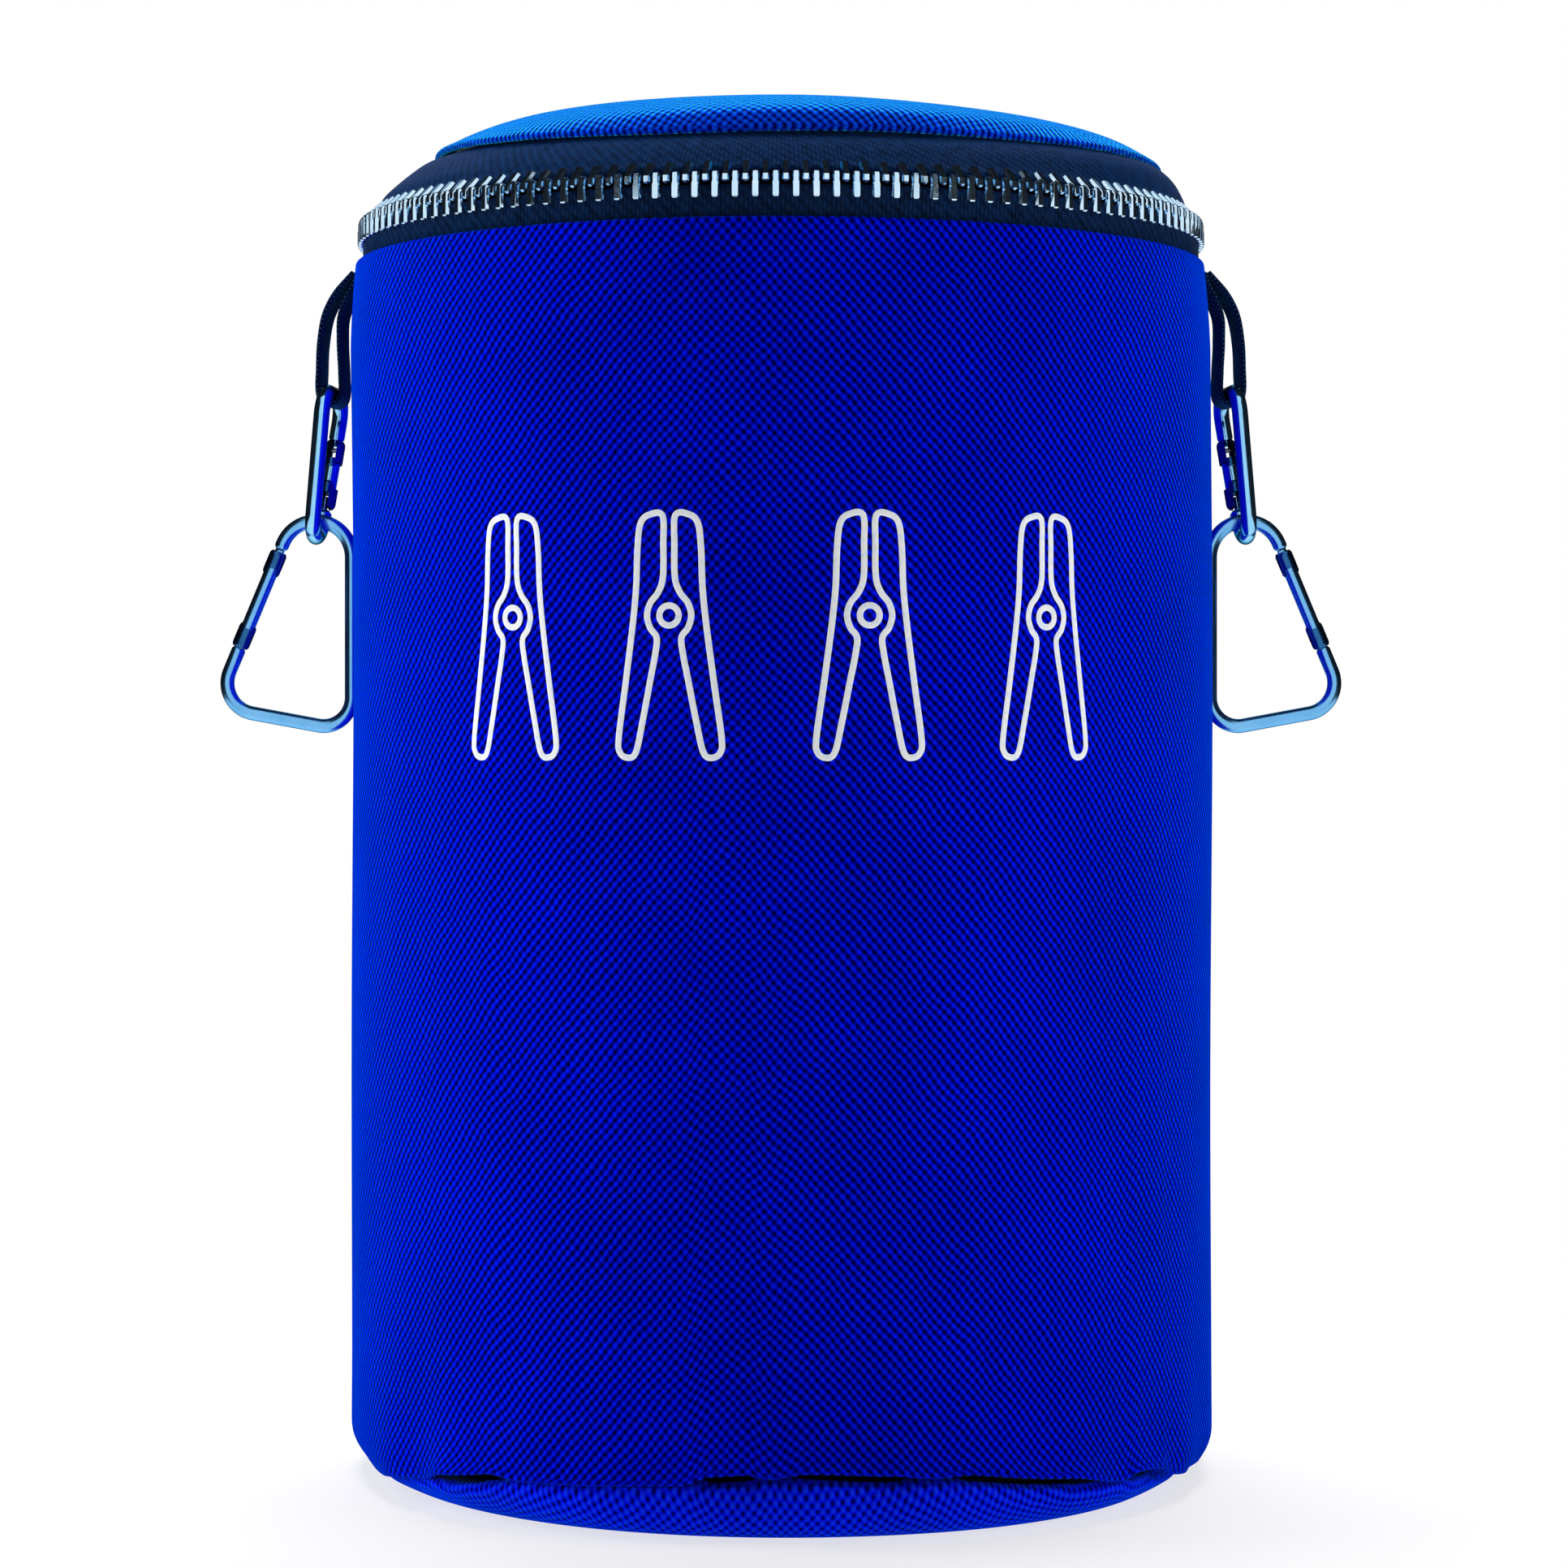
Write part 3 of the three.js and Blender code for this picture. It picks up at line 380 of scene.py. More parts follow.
def wall_radius(angle, z):
    """Radius of the wall's face: the base corner's arc below, drawn in by 1.4 mm over the hem, with slow
    waves all over and gathers near the base seam that fade within about 14 mm."""
    low = CORNER - np.clip(z, 0, CORNER)
    r = BAG_R - CORNER + np.sqrt(CORNER ** 2 - low ** 2)
    r = r - 1.4 * np.clip((z - BAG_TOP + HEM) / HEM, 0, 1) ** 1.5
    slow = ripple(angle, ((2, 0.25, 0.9), (3, 0.22, 2.4), (5, 0.14, 0.2)))
    r = r + slow * np.sin(np.pi * np.clip(z / BAG_TOP, 0, 1))
    r = r + 0.25 * np.sin(z / 31 + 2 * np.sin(angle + 0.4))
    gather = ripple(angle, ((11, 0.5, 0.8), (17, 0.4, 2.0), (29, 0.22, 0.1), (23, 0.3, 1.1)))
    return r - drawn_in(angle, z) + gather * np.exp(-np.clip(z - seam_height(angle), 0, 90) / 14)


levels = np.concatenate([np.linspace(0, 1, 26)[:-1] ** 1.6 * 34, np.linspace(34, BAG_TOP - 22, 60)[:-1],
                         np.linspace(BAG_TOP - 22, BAG_TOP - 0.6, 16)])
foot = seam + 1.0 + GAPE * open_seam
wall_z = foot + (BAG_TOP - 0.6 - foot) * (levels / levels[-1])[:, None]
lip = np.exp(-(wall_z - foot) / 2.2)
wall_r = wall_radius(theta, wall_z) - CLOTH_T / 2 + lip * (0.35 + 0.8 * open_seam)
side_cloth = laid_round("side_cloth", wall_r, wall_z, CLOTH_T / 2 + 0.25 * lip, blue_cloth)
fit(side_cloth, "bag", "bag_cloth", "side_panel")
upright = np.linspace(0, 1, 30)[:, None] * np.ones(AROUND)
pad_foot = np.maximum(11.8, seam + 8.6)
pad_z = pad_foot + (WALL_PAD_TOP - pad_foot) * upright
side_pad = laid_round("side_pad", WALL_PAD_R - 0.5 * upright ** 8, pad_z, 1.85, open_foam)
fit(side_pad, "bag", "foam", "side_foam")
side_inside = laid_round("side_lining_cloth", WALL_LINING_R + 0 * upright, 10.2 + 268.4 * upright, 0.3,
                         lining_cloth)
fit(side_inside, "bag", "lining", "side_lining")
mouth_tape = laid_round("mouth_binding_tape", MOUTH_TAPE_R + 0 * bind, 269.6 + 8.3 * bind, 0.75, tape_cloth)
fit(mouth_tape, "bag", "binding", "mouth_binding")

# PRINT
# A row of four clothes pegs in outline, screen printed in white ink on the front of the wall. The ink
# lies on the yarn, so it follows the wall's face.
INK = 0.12
STROKE = 1.35
PRINT_Z = 164.8
PEG_PLACES = (-61.0, -23.6, 18.6, 60.0)
EYE_R = 2.1
EYE_Z = 30.0
LEG = [(1.4, 51.0), (4.2, 51.2), (6.2, 49.4), (6.9, 44), (7.2, 36), (8.0, 28), (9.6, 16), (11.2, 4.5),
       (11.0, 1.4), (9.4, 0.2), (7.4, 1.2), (5.8, 8), (4.2, 16), (3.0, 22), (2.7, 25.4), (4.1, 27.4),
       (4.8, 30), (4.1, 32.6), (2.4, 34.8), (1.3, 38), (1.2, 45)]


def white_ink():
    """Matt white ink with the weave's dimples showing through it."""
    material, tree, shader = new_material("white_screen_ink")
    where = join(tree, "ShaderNodeTexCoord", {})
    grain = join(tree, "ShaderNodeTexNoise",
                 {"Vector": where.outputs["Object"], "Scale": 700.0, "Detail": 2.0})
    ramp = join(tree, "ShaderNodeValToRGB", {0: grain})
    set_stops(ramp, (0.25, 0.5), ("#e0f0ff", "#fafdff"))
    bump = join(tree, "ShaderNodeBump", {"Height": grain, "Strength": 0.3, "Distance": 0.0001})
    feed(tree, shader, {"Base Color": ramp, "Normal": bump, "Roughness": 0.6})
    return material


def smooth_loop(points, count):
    """Even points along a closed line whose corners are eased by a cubic through every point."""
    points = np.array(points, float)
    run = np.concatenate([[0], np.cumsum(np.hypot(*np.diff(points, axis=0, append=points[:1]).T))])
    at = np.linspace(0, run[-1], count, endpoint=False)
    k = np.clip(np.searchsorted(run, at, side="right") - 1, 0, len(points) - 1)
    t = ((at - run[k]) / (run[k + 1] - run[k]))[:, None]
    a, b, c, d = (points[(k + j) % len(points)] for j in (-1, 0, 1, 2))
    bend = (2 * a - 5 * b + 4 * c - d) * t ** 2 + (3 * b - a - 3 * c + d) * t ** 3
    return 0.5 * (2 * b + (c - a) * t + bend)


def bare_skin(grid, loop_rows=False):
    """The skin of a grid whose material needs no map."""
    return skin(grid, np.zeros((grid.shape[0] + 1, grid.shape[1] + 1, 2)), loop_rows)


def printed(line, place):
    """A stroke of ink along a closed line: a flat bar with eased edges, wrapped on the wall's face."""
    tangent = np.roll(line, -1, axis=0) - np.roll(line, 1, axis=0)
    normal = np.stack([tangent[:, 1], -tangent[:, 0]], 1) / np.hypot(*tangent.T)[:, None]
    across = np.array([-1, -0.6, 0.6, 1, 1, -1])[:, None, None] * normal * STROKE / 2
    face = np.array([0.6, 1, 1, 0.6, -1.5, -1.5])[:, None] * INK
    u, v = np.moveaxis(line + across, -1, 0)
    angle = (place + u) / BAG_R
    grid = spin(wall_radius(angle, PRINT_Z + v) + face, PRINT_Z + v, angle)
    return bare_skin(grid, loop_rows=True)


ring = np.linspace(0, 2 * np.pi, 24, endpoint=False)
outlines = [smooth_loop(LEG, 200), smooth_loop(LEG, 200) * (-1, 1),
            np.stack([EYE_R * np.sin(ring), EYE_Z + EYE_R * np.cos(ring)], 1)]
peg_print = put_skins("peg_print", [printed(line, place) for place in PEG_PLACES for line in outlines],
                      white_ink())
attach(peg_print, "bag")

# ZIP TAPES
# Black herringbone polyester tapes with a corded edge. The lower one is sewn behind the hem and stands
# up from it. The upper one leans in to the lid, is sewn under its edge and stops short of the hinge.
CHAIN_Z = 287.0
CHAIN_R = 96.8
HINGE = np.radians(30)
PARK = np.radians(40)


def zip_tape_cloth():
    """Closely woven polyester zip tape, nearly black: fine upright ribs with a slanting twill over them.
    The real ribs are about 0.5 mm, drawn here at 1 mm so that they show."""
    material, tree, shader = new_material("herringbone_zip_tape")
    where = join(tree, "ShaderNodeUVMap", {}, uv_map="cloth_mm")
    ribs = join(tree, "ShaderNodeTexWave",
                {"Vector": where, "Scale": 0.314 / 1.0, "Distortion": 0.4, "Detail": 2.0},
                wave_type="BANDS", bands_direction="X")
    slant = join(tree, "ShaderNodeTexWave", {"Vector": where, "Scale": 0.314 / 1.4, "Distortion": 0.3},
                 wave_type="BANDS", bands_direction="DIAGONAL")
    both = join(tree, "ShaderNodeMath", {0: ribs.outputs[1], 1: slant.outputs[1]}, operation="MULTIPLY")
    dust = join(tree, "ShaderNodeTexNoise", {"Vector": where, "Scale": 0.4, "Detail": 4.0})
    tone = join(tree, "ShaderNodeMath", {0: both, 1: 0.6, 2: dust}, operation="MULTIPLY_ADD")
    ramp = join(tree, "ShaderNodeValToRGB", {0: tone})
    set_stops(ramp, (0.3, 1.0), ("#030e22", "#0b2850"))
    bump = join(tree, "ShaderNodeBump", {"Height": both, "Strength": 0.5, "Distance": 0.00015})
    feed(tree, shader, {"Base Color": ramp, "Normal": bump, "Roughness": 0.7, "Specular IOR Level": 0.05,
                        "Sheen Weight": 0.06, "Sheen Tint": linear("#2a5aa0")})
    return material


zip_cloth = zip_tape_cloth()


def capped(rings):
    """The rings with a pole at the middle of each end."""
    ends = rings[[0, -1]].mean(1, keepdims=True) * np.ones((1, rings.shape[1], 1))
    return np.concatenate([ends[:1], rings, ends[1:]])


def strip_between(name, mid_r, mid_z, half, turn, material):
    """Part of a ring: the two-sided outline at each azimuth in a row of them, closed at both ends."""
    wide = [np.broadcast_to(line.reshape(len(line), -1), (len(line), len(turn)))
            for line in (mid_r, mid_z, half)]
    out_r, out_z = two_sided(*wide)
    grid = capped(spin(out_r.T, out_z.T, turn[:, None]))
    across = BAG_R * np.concatenate([turn[:1], turn, turn[-1:]])
    plan = np.stack(np.broadcast_arrays(across[:, None], closed_run(out_r, out_z)[None]), -1)
    return put_skins(name, [skin(grid, plan)], material)


def steps_between(start, end):
    """Azimuths about 1.25 degrees apart from start to end."""
    return np.linspace(start, end, int(np.degrees(end - start) / 1.25) + 2)


def smooth_line(points, count):
    """A line of even points along a bent path, its corners eased by a cubic through them."""
    points = np.array(points, float)
    run = np.concatenate([[0], np.cumsum(np.hypot(*np.diff(points, axis=0).T))])
    at = np.linspace(0, run[-1], count)
    slope = np.gradient(points, run, axis=0)
    k = np.clip(np.searchsorted(run, at, side="right") - 1, 0, len(run) - 2)
    width = (run[k + 1] - run[k])[:, None]
    t = ((at - run[k])[:, None]) / width
    return ((2 * t ** 3 - 3 * t ** 2 + 1) * points[k] + (t ** 3 - 2 * t ** 2 + t) * width * slope[k]
            + (3 * t ** 2 - 2 * t ** 3) * points[k + 1] + (t ** 3 - t ** 2) * width * slope[k + 1])


def corded(line, cord, wide, swell):
    """Half thickness along a tape: 0.3 mm, with a swelling for the cord at its edge."""
    return 0.3 + swell * np.exp(-((line - cord) / wide) ** 2)


lower_line = smooth_line([(CHAIN_R, 269.3), (CHAIN_R, 276), (CHAIN_R, 284.6)], 22)
lower_tape = strip_between("lower_zip_tape", lower_line[:, 0], lower_line[:, 1],
                           corded(lower_line[:, 1], 284.3, 0.9, 0.5),
                           steps_between(HINGE - np.pi, np.pi - HINGE), zip_cloth)
fit(lower_tape, "bag", "zip_tape", "zip_tape_lower")
front_fall = smooth_line([(95.0, 288.4), (94.0, 289.8), (91.4, 292.5), (88.4, 295.0), (85.0, 296.9),
                          (82.0, 299.6)], 34)
left_fall = smooth_line([(95.0, 288.4), (94.2, 289.8), (92.4, 292.8), (90.0, 295.1), (87.0, 297.6),
                         (83.6, 300.0), (80.0, 301.2), (75.5, 302.6)], 34)
right_fall = smooth_line([(95.0, 288.4), (94.3, 289.9), (93.2, 293.2), (91.4, 296.4), (88.8, 298.8),
                          (85.5, 300.2), (82.0, 302.2)], 34)
turn = steps_between(PARK - np.pi, np.pi - PARK)
to_left, to_right = np.maximum(-np.sin(turn), 0) ** 2, np.maximum(np.sin(turn), 0) ** 2
upper_r, upper_z = (front_fall[:, k:k + 1] + to_left * (left_fall - front_fall)[:, k:k + 1]
                    + to_right * (right_fall - front_fall)[:, k:k + 1] for k in (0, 1))
upper_tape = strip_between("upper_zip_tape", upper_r, upper_z, corded(upper_r, 94.7, 0.8, 0.45), turn,
                           zip_cloth)
fit(upper_tape, "lid", "zip_tape", "zip_tape_upper")
end_line = smooth_line([(95.0, 288.4), (93.6, 289.8), (89.4, 294.2), (85.4, 297.9)], 18)
for side, start, end in (("right", np.pi - PARK, np.pi - HINGE), ("left", HINGE - np.pi, PARK - np.pi)):
    tail = strip_between(f"zip_end_{side}_tail", end_line[:, 0], end_line[:, 1],
                         corded(end_line[:, 0], 94.7, 0.8, 0.45),
                         steps_between(start + 0.006, end - 0.002), zip_cloth)
    fit(tail, "bag", "zip_tape", f"zip_end_{side}_tape")

# ZIP TEETH
# Nickel-plated metal teeth, each a short clamp pressed onto the tape's cord with a nib that locks
# between the two teeth facing it. The lower row stands up, the upper row leans in with its tape.
TOOTH_STEP = np.radians(2.5)
TOOTH_SECTION = np.array([(0.6, 1), (1, 0.6), (1, -0.6), (0.6, -1), (-0.6, -1), (-1, -0.6), (-1, 0.6),
                          (-0.6, 1)])


def plated_metal(name, colour, second, edge, rough, rough_high, scratch_mm):
    """Plated or polished metal: bright, with a little mottling, fine rubbing marks in its gloss and a
    darker tint where it turns away."""
    material, tree, shader = new_material(name)
    place = join(tree, "ShaderNodeTexCoord", {}).outputs["Object"]
    stain = join(tree, "ShaderNodeTexNoise", {"Vector": place, "Scale": 150.0, "Detail": 3.0})
    rub = join(tree, "ShaderNodeTexNoise", {"Vector": place, "Scale": 1000 / scratch_mm, "Detail": 2.0})
    tint = join(tree, "ShaderNodeMix", {"Factor": stain, 6: linear(colour), 7: linear(second)},
                data_type="RGBA")
    gloss = join(tree, "ShaderNodeMapRange", {0: rub, 1: 0.3, 2: 0.7, 3: rough, 4: rough_high})
    feed(tree, shader, {"Base Color": tint.outputs[2], "Roughness": gloss, "Metallic": 1.0,
                        "Specular Tint": linear(edge)})
    return material


# Each small plane mirrors the room, so a tooth is white or dark by the way it faces, with bright edges.
nickel = plated_metal("nickel_plated_brass", "#e0f4ff", "#acdafc", "#7090b0", 0.1, 0.2, 0.5)


def ringed(line, wide, thick, section):
    """Rings round a flat line: each the section, scaled to half widths across the line, along its normal,
    and out of the line's plane."""
    slope = np.gradient(line, axis=0)
    slope /= np.hypot(*slope.T)[:, None]
    across = np.multiply.outer(wide, section[:, 0])
    x = line[:, :1] + slope[:, 1:] * across
    y = line[:, 1:] - slope[:, :1] * across
    return np.stack(np.broadcast_arrays(x, y, np.multiply.outer(thick, section[:, 1])), -1)


def tooth_row(name, path, deep, wide, angles):
    """One tooth lofted along a path of (radius, height), each section a rectangle with cut corners, and
    turned about the axis to every azimuth given."""
    r, z, u = np.moveaxis(ringed(np.array(path), deep, wide, TOOTH_SECTION), -1, 0)
    teeth = [np.stack([r * np.sin(a) + u * np.cos(a), u * np.sin(a) - r * np.cos(a), z], -1) for a in angles]
    return put_skins(name, [bare_skin(capped(tooth)) for tooth in teeth], nickel, sharp=30)


def tooth_angles(first, last, shift):
    """Azimuths from the front of the teeth between two azimuths measured from the back."""
    steps = np.arange(np.ceil(first / TOOTH_STEP - shift), np.floor(last / TOOTH_STEP - shift) + 1)
    return np.pi - (steps + shift) * TOOTH_STEP


lower_path = [(CHAIN_R, CHAIN_Z + d) for d in (-4.4, -4.1, -1.5, -0.9, 0.4, 1.0, 1.25)]
lower_deep = (1.3, 1.6, 1.6, 1.45, 1.45, 1.25, 0.8)
lower_wide = (0.8, 1.05, 1.05, 0.82, 0.84, 0.78, 0.5)
teeth = tooth_row("lower_zip_teeth", lower_path, lower_deep, lower_wide,
                  tooth_angles(HINGE, 2 * np.pi - HINGE, 0.25))
fit(teeth, "bag", "zip_metal", "zip_teeth_lower")
upper_path = [(96.8, 285.8), (96.8, 286.1), (96.7, 286.8), (96.2, 287.3), (95.4, 288.0), (93.9, 289.5),
              (93.6, 289.8)]
upper_deep = (0.8, 1.3, 1.5, 1.5, 1.5, 1.5, 1.2)
upper_wide = (0.5, 0.78, 0.84, 0.84, 1.02, 1.02, 0.8)
teeth = tooth_row("upper_zip_teeth", upper_path, upper_deep, upper_wide,
                  tooth_angles(PARK, 2 * np.pi - PARK, 0.75))
fit(teeth, "lid", "zip_metal", "zip_teeth_upper")
for side, start, end in (("right", HINGE, PARK), ("left", 2 * np.pi - PARK, 2 * np.pi - HINGE)):
    teeth = tooth_row(f"zip_end_{side}_row", upper_path, upper_deep, upper_wide,
                      tooth_angles(start, end, 0.75))
    fit(teeth, "bag", "zip_metal", f"zip_end_{side}_teeth")

# LID
# A round of the same cloth over a foam round, domed by the way it is cut and pulled, with its edge
# turned under on the upper zip tape. A lining and a binding tape finish the inside.
DOME_R = 90.0
DOME_RISE = 21.0
DOME_FOOT = CHAIN_Z + 3.3
RIM_R = 86.0
LID_PAD_R = 77.6
LID_LINING_R = 83.0


def dome_height(r):
    """Height of the lid's face over a radius: 21 mm times (1 - (r / 90) to the power 5.1) to the power
    0.58, which is flat in the middle and steep at its rim."""
    return DOME_FOOT + DOME_RISE * np.maximum(1 - (np.abs(r) / DOME_R) ** 5.1, 0) ** 0.58


def under_dome(r, depth):
    """The point a depth below the lid's face at a radius, along the face's normal."""
    slope = (dome_height(r + 0.01) - dome_height(r - 0.01)) / 0.02
    size = np.sqrt(1 + slope ** 2)
    return r + depth * slope / size, dome_height(r) - depth / size


def hem_radius(angle):
    """Radius of the cloth's edge before the rim is pulled out: 85.6 mm, 79 on the left and 85.4 on the
    right."""
    side = np.sin(angle)
    return 85.6 - 3.4 * side ** 2 + 3.2 * side ** 3


def pulled_rim(r, z, angle):
    """The dome pulled out of round: the rim stands 1.5 mm wider on the left and 3 on the right, where it
    also lifts 1.5 mm, and the crown leans 0.85 mm up to the left, where the rim sags, with slow waves near
    the rim. At the front the shoulder stands out 1.6 mm, and below it the cloth folds down 1.9 mm steeper
    to its edge."""
    side = np.sin(angle)
    rim = (r / RIM_R) ** 6
    waves = ripple(angle, ((2, 0.2, 2.2), (3, 0.2, 0.6), (5, 0.2, 1.4), (8, 0.1, 0.2)))
    lean = -0.85 * side * np.sin(np.pi * np.clip(r / RIM_R, 0, 1))
    lift = 1.5 * np.maximum(side, 0) ** 2 * rim + waves * (r / RIM_R) ** 3
    drop = 1.1 * np.maximum(-side, 0) ** 2 * np.clip((r - 66) / 14, 0, 1)
    fold = 1.9 * np.clip((r - 80.5) / 5.1, 0, 1) ** 1.5 - 1.6 * np.exp(-((r - 80) / 4) ** 2)
    fold = fold * np.maximum(np.cos(angle), 0) ** 2
    return r - fold + (2.25 * side ** 2 + 0.75 * side ** 3) * rim, z + lean + lift - drop


# The crown is the same cloth with lighter, greener shades and a paler, stronger sheen: painted light for
# the top lamp falling on it. The lean of its rows is painted light too.
crown_weave_painted_lighter = woven_cloth("oxford_weave_painted_lighter_for_the_lid", ("#000038", "#0020c4", "#0050ff"), YARN_U, YARN_V,
                          1.0, "#38f0ff", lean=-0.22)
out = (np.linspace(0, 1, 70) ** 0.7)[:, None] * hem_radius(theta)
lid_r, lid_z = pulled_rim(*under_dome(out, CLOTH_T / 2), theta)
edge = np.exp(-((hem_radius(theta) - out) / 1.1) ** 2)
lid_cloth = laid_flat("lid_cloth", lid_r, lid_z, CLOTH_T / 2 + 0.25 * edge, crown_weave_painted_lighter)
fit(lid_cloth, "lid", "bag_cloth", "lid_panel")
foam_r, foam_z = pulled_rim(*under_dome(disc * LID_PAD_R, 4.3), theta)
lid_pad = laid_flat("lid_pad", foam_r, foam_z, 2.3, open_foam)
fit(lid_pad, "lid", "foam", "lid_foam")
reach = disc * LID_LINING_R
in_depth = 7.4 - 2.6 * np.clip((reach - 79.8) / 3.2, 0, 1) ** 2
in_r, in_z = pulled_rim(*under_dome(reach, in_depth), theta)
lid_inside = laid_flat("lid_lining_cloth", in_r, in_z, 0.3, lining_cloth)
fit(lid_inside, "lid", "lining", "lid_lining")
tape_r, tape_z = pulled_rim(*under_dome(82.2 + 3.0 * bind, 3.55), theta)
lid_tape = laid_round("lid_binding_tape", tape_r, tape_z, 0.8, tape_cloth)
fit(lid_tape, "lid", "binding", "lid_binding")

# CLOTH HINGE
# A strip of the bag's cloth at the back, sewn to the mouth below and to the lid above. It is one piece,
# shaped with a fold where the zip stops, and is not hung on the bag or the lid.
hinge_line = smooth_line([(CHAIN_R, 269.4), (CHAIN_R, 280), (CHAIN_R, 286), (95.6, 289.0), (90.2, 293.6),
                          under_dome(85.0, 2.1), under_dome(81, 2.1)], 44)
hinge_cloth = strip_between("hinge_cloth", hinge_line[:, 0], hinge_line[:, 1], 0.45 + 0 * hinge_line[:, 0],
                            steps_between(np.pi - HINGE + 0.004, np.pi + HINGE - 0.004), blue_cloth)
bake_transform(hinge_cloth)
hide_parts("hinge_strip_lower", "hinge_strip_upper")

# ZIP SLIDER AND PULL
# A cast slider body in two plates that ride outside and inside the chain, and a stamped pull, all
# nickel plated. The CAD solids show, with their edges eased as tumbling eases them.
for node in ("zip_slider", "zip_slider_back", "zip_pull"):
    solid = dress(node, nickel)
    weld = solid.modifiers.new("weld", "WELD")
    weld.merge_threshold = 1e-6
    ease = solid.modifiers.new("ease", "BEVEL")
    ease.width = 0.00025
    ease.segments = 2
    ease.limit_method = "ANGLE"
    ease.angle_limit = np.radians(35)

# WEBBING LOOPS
# A short length of black nylon webbing on each side, folded over the bar of the small snap hook and
# sewn to the hem by both ends.
LOOP_AT = np.radians(85)
BAR_R = 106.0
BAR_Z = 250.0
FOLD_R = 2.65
STRAP = np.array([(-0.5, -5.2), (-0.5, 0), (-0.5, 5.2), (-0.28, 5.45), (0, 5.5), (0.28, 5.45), (0.5, 5.2),
                  (0.5, 0), (0.5, -5.2), (0.28, -5.45), (0, -5.5), (-0.28, -5.45)])

# Ribbed across and nearly black, with a blue cast where the yarn catches the light.
webbing = woven_cloth("nylon_webbing", ("#02060e", "#0a1c38", "#1e4470"), 1.5, 1.1, 0.5, "#3a78b8")


def hung(u, r, z, mirror):
    """Points of a hanger: u along the wall, r out from the axis and z up, 85 degrees round from the back."""
    x = r * np.sin(LOOP_AT) + u * np.cos(LOOP_AT)
    y = r * np.cos(LOOP_AT) - u * np.sin(LOOP_AT)
    return np.stack(np.broadcast_arrays(mirror * x, y, z), -1)


fold = np.linspace(np.pi, 2 * np.pi, 9)
loop_line = smooth_line([(99.2, 278.3), (100.0, 275.9), (101.8, 272.5), (103.4, 268.5), (103.7, 262.5),
                         (103.35, 254.5), *zip(BAR_R + FOLD_R * np.cos(fold), BAR_Z + FOLD_R * np.sin(fold)),
                         (108.65, 255.5), (108.3, 262.5), (107.0, 269.0), (104.6, 273.5), (102.0, 276.5),
                         (100.3, 278.3)], 120)
strap_r, strap_z, strap_u = np.moveaxis(ringed(loop_line, 1.0, 1.0, STRAP), -1, 0)
around = np.concatenate([[0], np.cumsum(np.hypot(*np.diff(STRAP, axis=0, append=STRAP[:1]).T))])
along = np.concatenate([[0], np.cumsum(np.hypot(*np.diff(loop_line, axis=0).T))])
plan = np.stack(np.meshgrid(around, np.concatenate([along[:1], along, along[-1:]])), -1)
for side, mirror in (("right", 1), ("left", -1)):
    grid = capped(hung(strap_u, strap_r, strap_z, mirror))
    loop = put_skins(f"{side}_webbing_loop", [skin(grid, plan)], webbing)
    fit(loop, f"{side}_loop", "webbing", f"{side}_loop")

# SNAP HOOKS
# Round aluminium rod bent to a pear shape and anodised, with a sprung tube gate riveted in its narrow
# end. The gate's two ends are forked collars, which take the rod's flattened ends.
CLIP_SIZE = 0.737
CLIP_ROD = 3.6
HOOK_SIZE = 1.035
HOOK_ROD = 3.2
BELT = np.array([(8.3, -8.3, 8.3), (6.5, -40.2, 6.5), (21.8, -36.9, 7.0)])
LINK_R = 110.119
LINK_Z = 220.154
LINK_U = 0.2395
LEAN = np.radians(7)
PLAY = 0.3

# The clips are polished and mirror their surroundings, and the hooks are a softer satin. The collars and
# fork cheeks take a darker copy of the anodised metal: painted shade for their dark sides. The pins and
# springs are plain grey steel.
polished = plated_metal("polished_anodised_aluminium", "#a6e2ff", "#7cc2f6", "#081830", 0.1, 0.18, 0.4)
anodised = plated_metal("satin_anodised_aluminium", "#86c8f6", "#5ca6e2", "#081830", 0.18, 0.26, 0.4)
collar_metal_painted_darker = plated_metal("anodised_aluminium_painted_darker", "#3c7ab8", "#1a4878", "#040c1c", 0.2, 0.3, 0.4)
steel = plated_metal("drawn_spring_steel", "#9aa0a8", "#7c828a", "#404850", 0.3, 0.45, 0.4)


def belt_line(size):
    """A belt round three circles: for each straight run the angle of its normal and its two ends, and for
    each circle the arc between the runs that meet it."""
    circles = BELT * size
    after = np.roll(circles, -1, axis=0)
    gap = after[:, :2] - circles[:, :2]
    open_by = np.arccos((circles[:, 2] - after[:, 2]) / np.hypot(*gap.T))
    angle = np.arctan2(gap[:, 1], gap[:, 0]) - open_by
    normal = np.stack([np.cos(angle), np.sin(angle)], 1)
    start = circles[:, :2] + circles[:, 2:] * normal
    stop = after[:, :2] + after[:, 2:] * normal
    before = np.roll(angle, 1)
    arcs = []
    for (x, y, r), first, sweep in zip(circles, before, (angle - before) % (2 * np.pi)):
        turn = first + sweep * np.linspace(0, 1, 24)
        arcs.append(np.stack([x + r * np.cos(turn), y + r * np.sin(turn)], 1))
    return normal, start, stop, np.concatenate(arcs)


